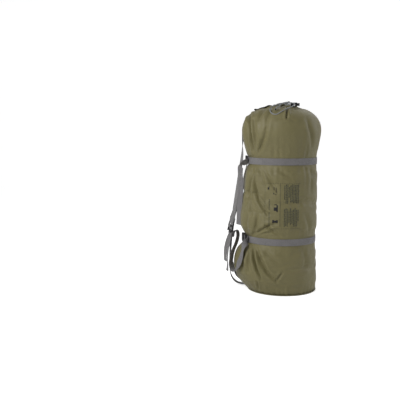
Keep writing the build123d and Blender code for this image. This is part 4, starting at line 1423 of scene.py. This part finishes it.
class SackLooks(bpy.types.PropertyGroup):
    """Colours of the sack's finishes"""
    cloth: colour_property("Cloth", "Colour of the coated cloth", (0.178, 0.158, 0.070))
    webbing: colour_property("Webbing", "Colour of the narrow webbing", (0.205, 0.197, 0.200))
    shoulder: colour_property("Shoulder webbing", "Colour of the wide webbing", (0.235, 0.228, 0.228))
    cord: colour_property("Cord", "Colour of the braided cord", (0.300, 0.315, 0.330))
    thread: colour_property("Thread", "Colour of the thread on the webbing", (0.105, 0.100, 0.100))
    plastic: colour_property("Plastic", "Colour of the moulded fittings", (0.012, 0.012, 0.013))
    binding: colour_property("Binding", "Colour of the bound edges and the backing", (0.016, 0.016, 0.017))
    ink: colour_property("Ink", "Colour of the printed panel", (0.052, 0.056, 0.036))


class SackShape(bpy.types.PropertyGroup):
    """How the cloth is filled"""
    fill_pressure: FloatProperty(name="Fill pressure", description="Pressure of the load against the cloth",
                                 default=4.0, min=0, max=20)
    spare_cloth: FloatProperty(name="Spare cloth", description="Share of cloth beyond what the shape needs",
                               default=0.035, min=0, max=0.2, subtype="FACTOR")
    settle_frames: IntProperty(name="Settling frames", description="Length of the cloth simulation",
                               default=22, min=1, max=60)
    settle_cap: FloatProperty(name="Settling limit", description="How far a point of the cloth may move",
                              default=0.007, min=0, max=0.03, unit="LENGTH")


class SackStage(bpy.types.PropertyGroup):
    """Camera and light"""
    distance: FloatProperty(name="Distance", description="Camera in front of the sack",
                            default=2.5, unit="LENGTH")
    height: FloatProperty(name="Height", description="Camera above the floor", default=0.63, unit="LENGTH")
    pitch: FloatProperty(name="Pitch", description="Camera turned down",
                         default=radians(6.58), unit="ROTATION")
    yaw: FloatProperty(name="Yaw", description="Camera turned left", default=radians(7.28), unit="ROTATION")
    view_angle: FloatProperty(name="View angle", description="Camera's field of view",
                              default=2 * atan2(200, 650), unit="ROTATION")
    fill_light: FloatProperty(name="Fill light", description="Strength of the even light",
                              default=0.32, min=0)
    key_power: FloatProperty(name="Key light", description="Power of the main light",
                             default=36.0, min=0, unit="POWER")
    rim_power: FloatProperty(name="Rim light", description="Power of the side light",
                             default=14.0, min=0, unit="POWER")
    back_power: FloatProperty(name="Back light", description="Power of the light behind",
                              default=12.0, min=0, unit="POWER")


class SACK_OT_stage(bpy.types.Operator):
    """Make the pale sweep, the lights and the camera"""
    bl_idname = "sack.stage"
    bl_label = "Stage"

    def execute(self, context):
        make_stage(context)
        return {"FINISHED"}


class SACK_OT_cords(bpy.types.Operator):
    """Make the drawcord's strands, loop, knot and tails"""
    bl_idname = "sack.cords"
    bl_label = "Drawcord"

    def execute(self, context):
        make_cords()
        return {"FINISHED"}


class SACK_OT_bag(bpy.types.Operator):
    """Make the filled cloth body"""
    bl_idname = "sack.bag"
    bl_label = "Bag"

    def execute(self, context):
        make_bag(context)
        return {"FINISHED"}


class SACK_OT_base(bpy.types.Operator):
    """Make the round base, its bound seam and its stitches"""
    bl_idname = "sack.base"
    bl_label = "Base"

    def execute(self, context):
        make_base()
        return {"FINISHED"}


class SACK_OT_mouth(bpy.types.Operator):
    """Make the gathered channel and the bound flap at the mouth"""
    bl_idname = "sack.mouth"
    bl_label = "Mouth"

    def execute(self, context):
        make_mouth()
        make_collar()
        return {"FINISHED"}


class SACK_OT_straps(bpy.types.Operator):
    """Make the compression straps and their keepers"""
    bl_idname = "sack.straps"
    bl_label = "Compression straps"

    def execute(self, context):
        make_straps()
        return {"FINISHED"}


class SACK_OT_harness(bpy.types.Operator):
    """Make the shoulder harness"""
    bl_idname = "sack.harness"
    bl_label = "Shoulder harness"

    def execute(self, context):
        make_harness()
        return {"FINISHED"}


class SACK_OT_print(bpy.types.Operator):
    """Make the printed panel on the front"""
    bl_idname = "sack.care_print"
    bl_label = "Printed panel"

    def execute(self, context):
        make_print()
        return {"FINISHED"}


class SACK_OT_fittings(bpy.types.Operator):
    """Give the buckles, locks and eyelets their finishes"""
    bl_idname = "sack.fittings"
    bl_label = "Fittings"

    def execute(self, context):
        dress_fittings()
        return {"FINISHED"}


OPERATORS = (SACK_OT_stage, SACK_OT_cords, SACK_OT_bag, SACK_OT_base, SACK_OT_mouth, SACK_OT_straps,
             SACK_OT_harness, SACK_OT_print, SACK_OT_fittings)
SETTINGS = (("sack_looks", SackLooks), ("sack_shape", SackShape), ("sack_stage", SackStage))


class SACK_PT_panel(bpy.types.Panel):
    """Lists the sack's pieces and settings"""
    bl_label = "Carry Sack"
    bl_idname = "SACK_PT_panel"
    bl_space_type = "VIEW_3D"
    bl_region_type = "UI"
    bl_category = "Carry Sack"

    def draw(self, context):
        for name, group in SETTINGS:
            column = self.layout.column(align=True)
            for key in group.__annotations__:
                column.prop(getattr(context.scene, name), key)
        for operator in OPERATORS:
            self.layout.operator(operator.bl_idname)


def register():
    for _, group in SETTINGS:
        bpy.utils.register_class(group)
    for operator in OPERATORS:
        bpy.utils.register_class(operator)
    bpy.utils.register_class(SACK_PT_panel)
    for name, group in SETTINGS:
        setattr(bpy.types.Scene, name, PointerProperty(type=group))


def unregister():
    for name, _ in SETTINGS:
        delattr(bpy.types.Scene, name)
    bpy.utils.unregister_class(SACK_PT_panel)
    for operator in reversed(OPERATORS):
        bpy.utils.unregister_class(operator)
    for _, group in SETTINGS:
        bpy.utils.unregister_class(group)


def main():
    register()
    bpy.ops.sack.stage()
    bpy.ops.sack.cords()
    bpy.ops.sack.bag()
    bpy.ops.sack.base()
    bpy.ops.sack.mouth()
    bpy.ops.sack.straps()
    bpy.ops.sack.harness()
    bpy.ops.sack.care_print()
    bpy.ops.sack.fittings()


if __name__ == "__main__":
    main()
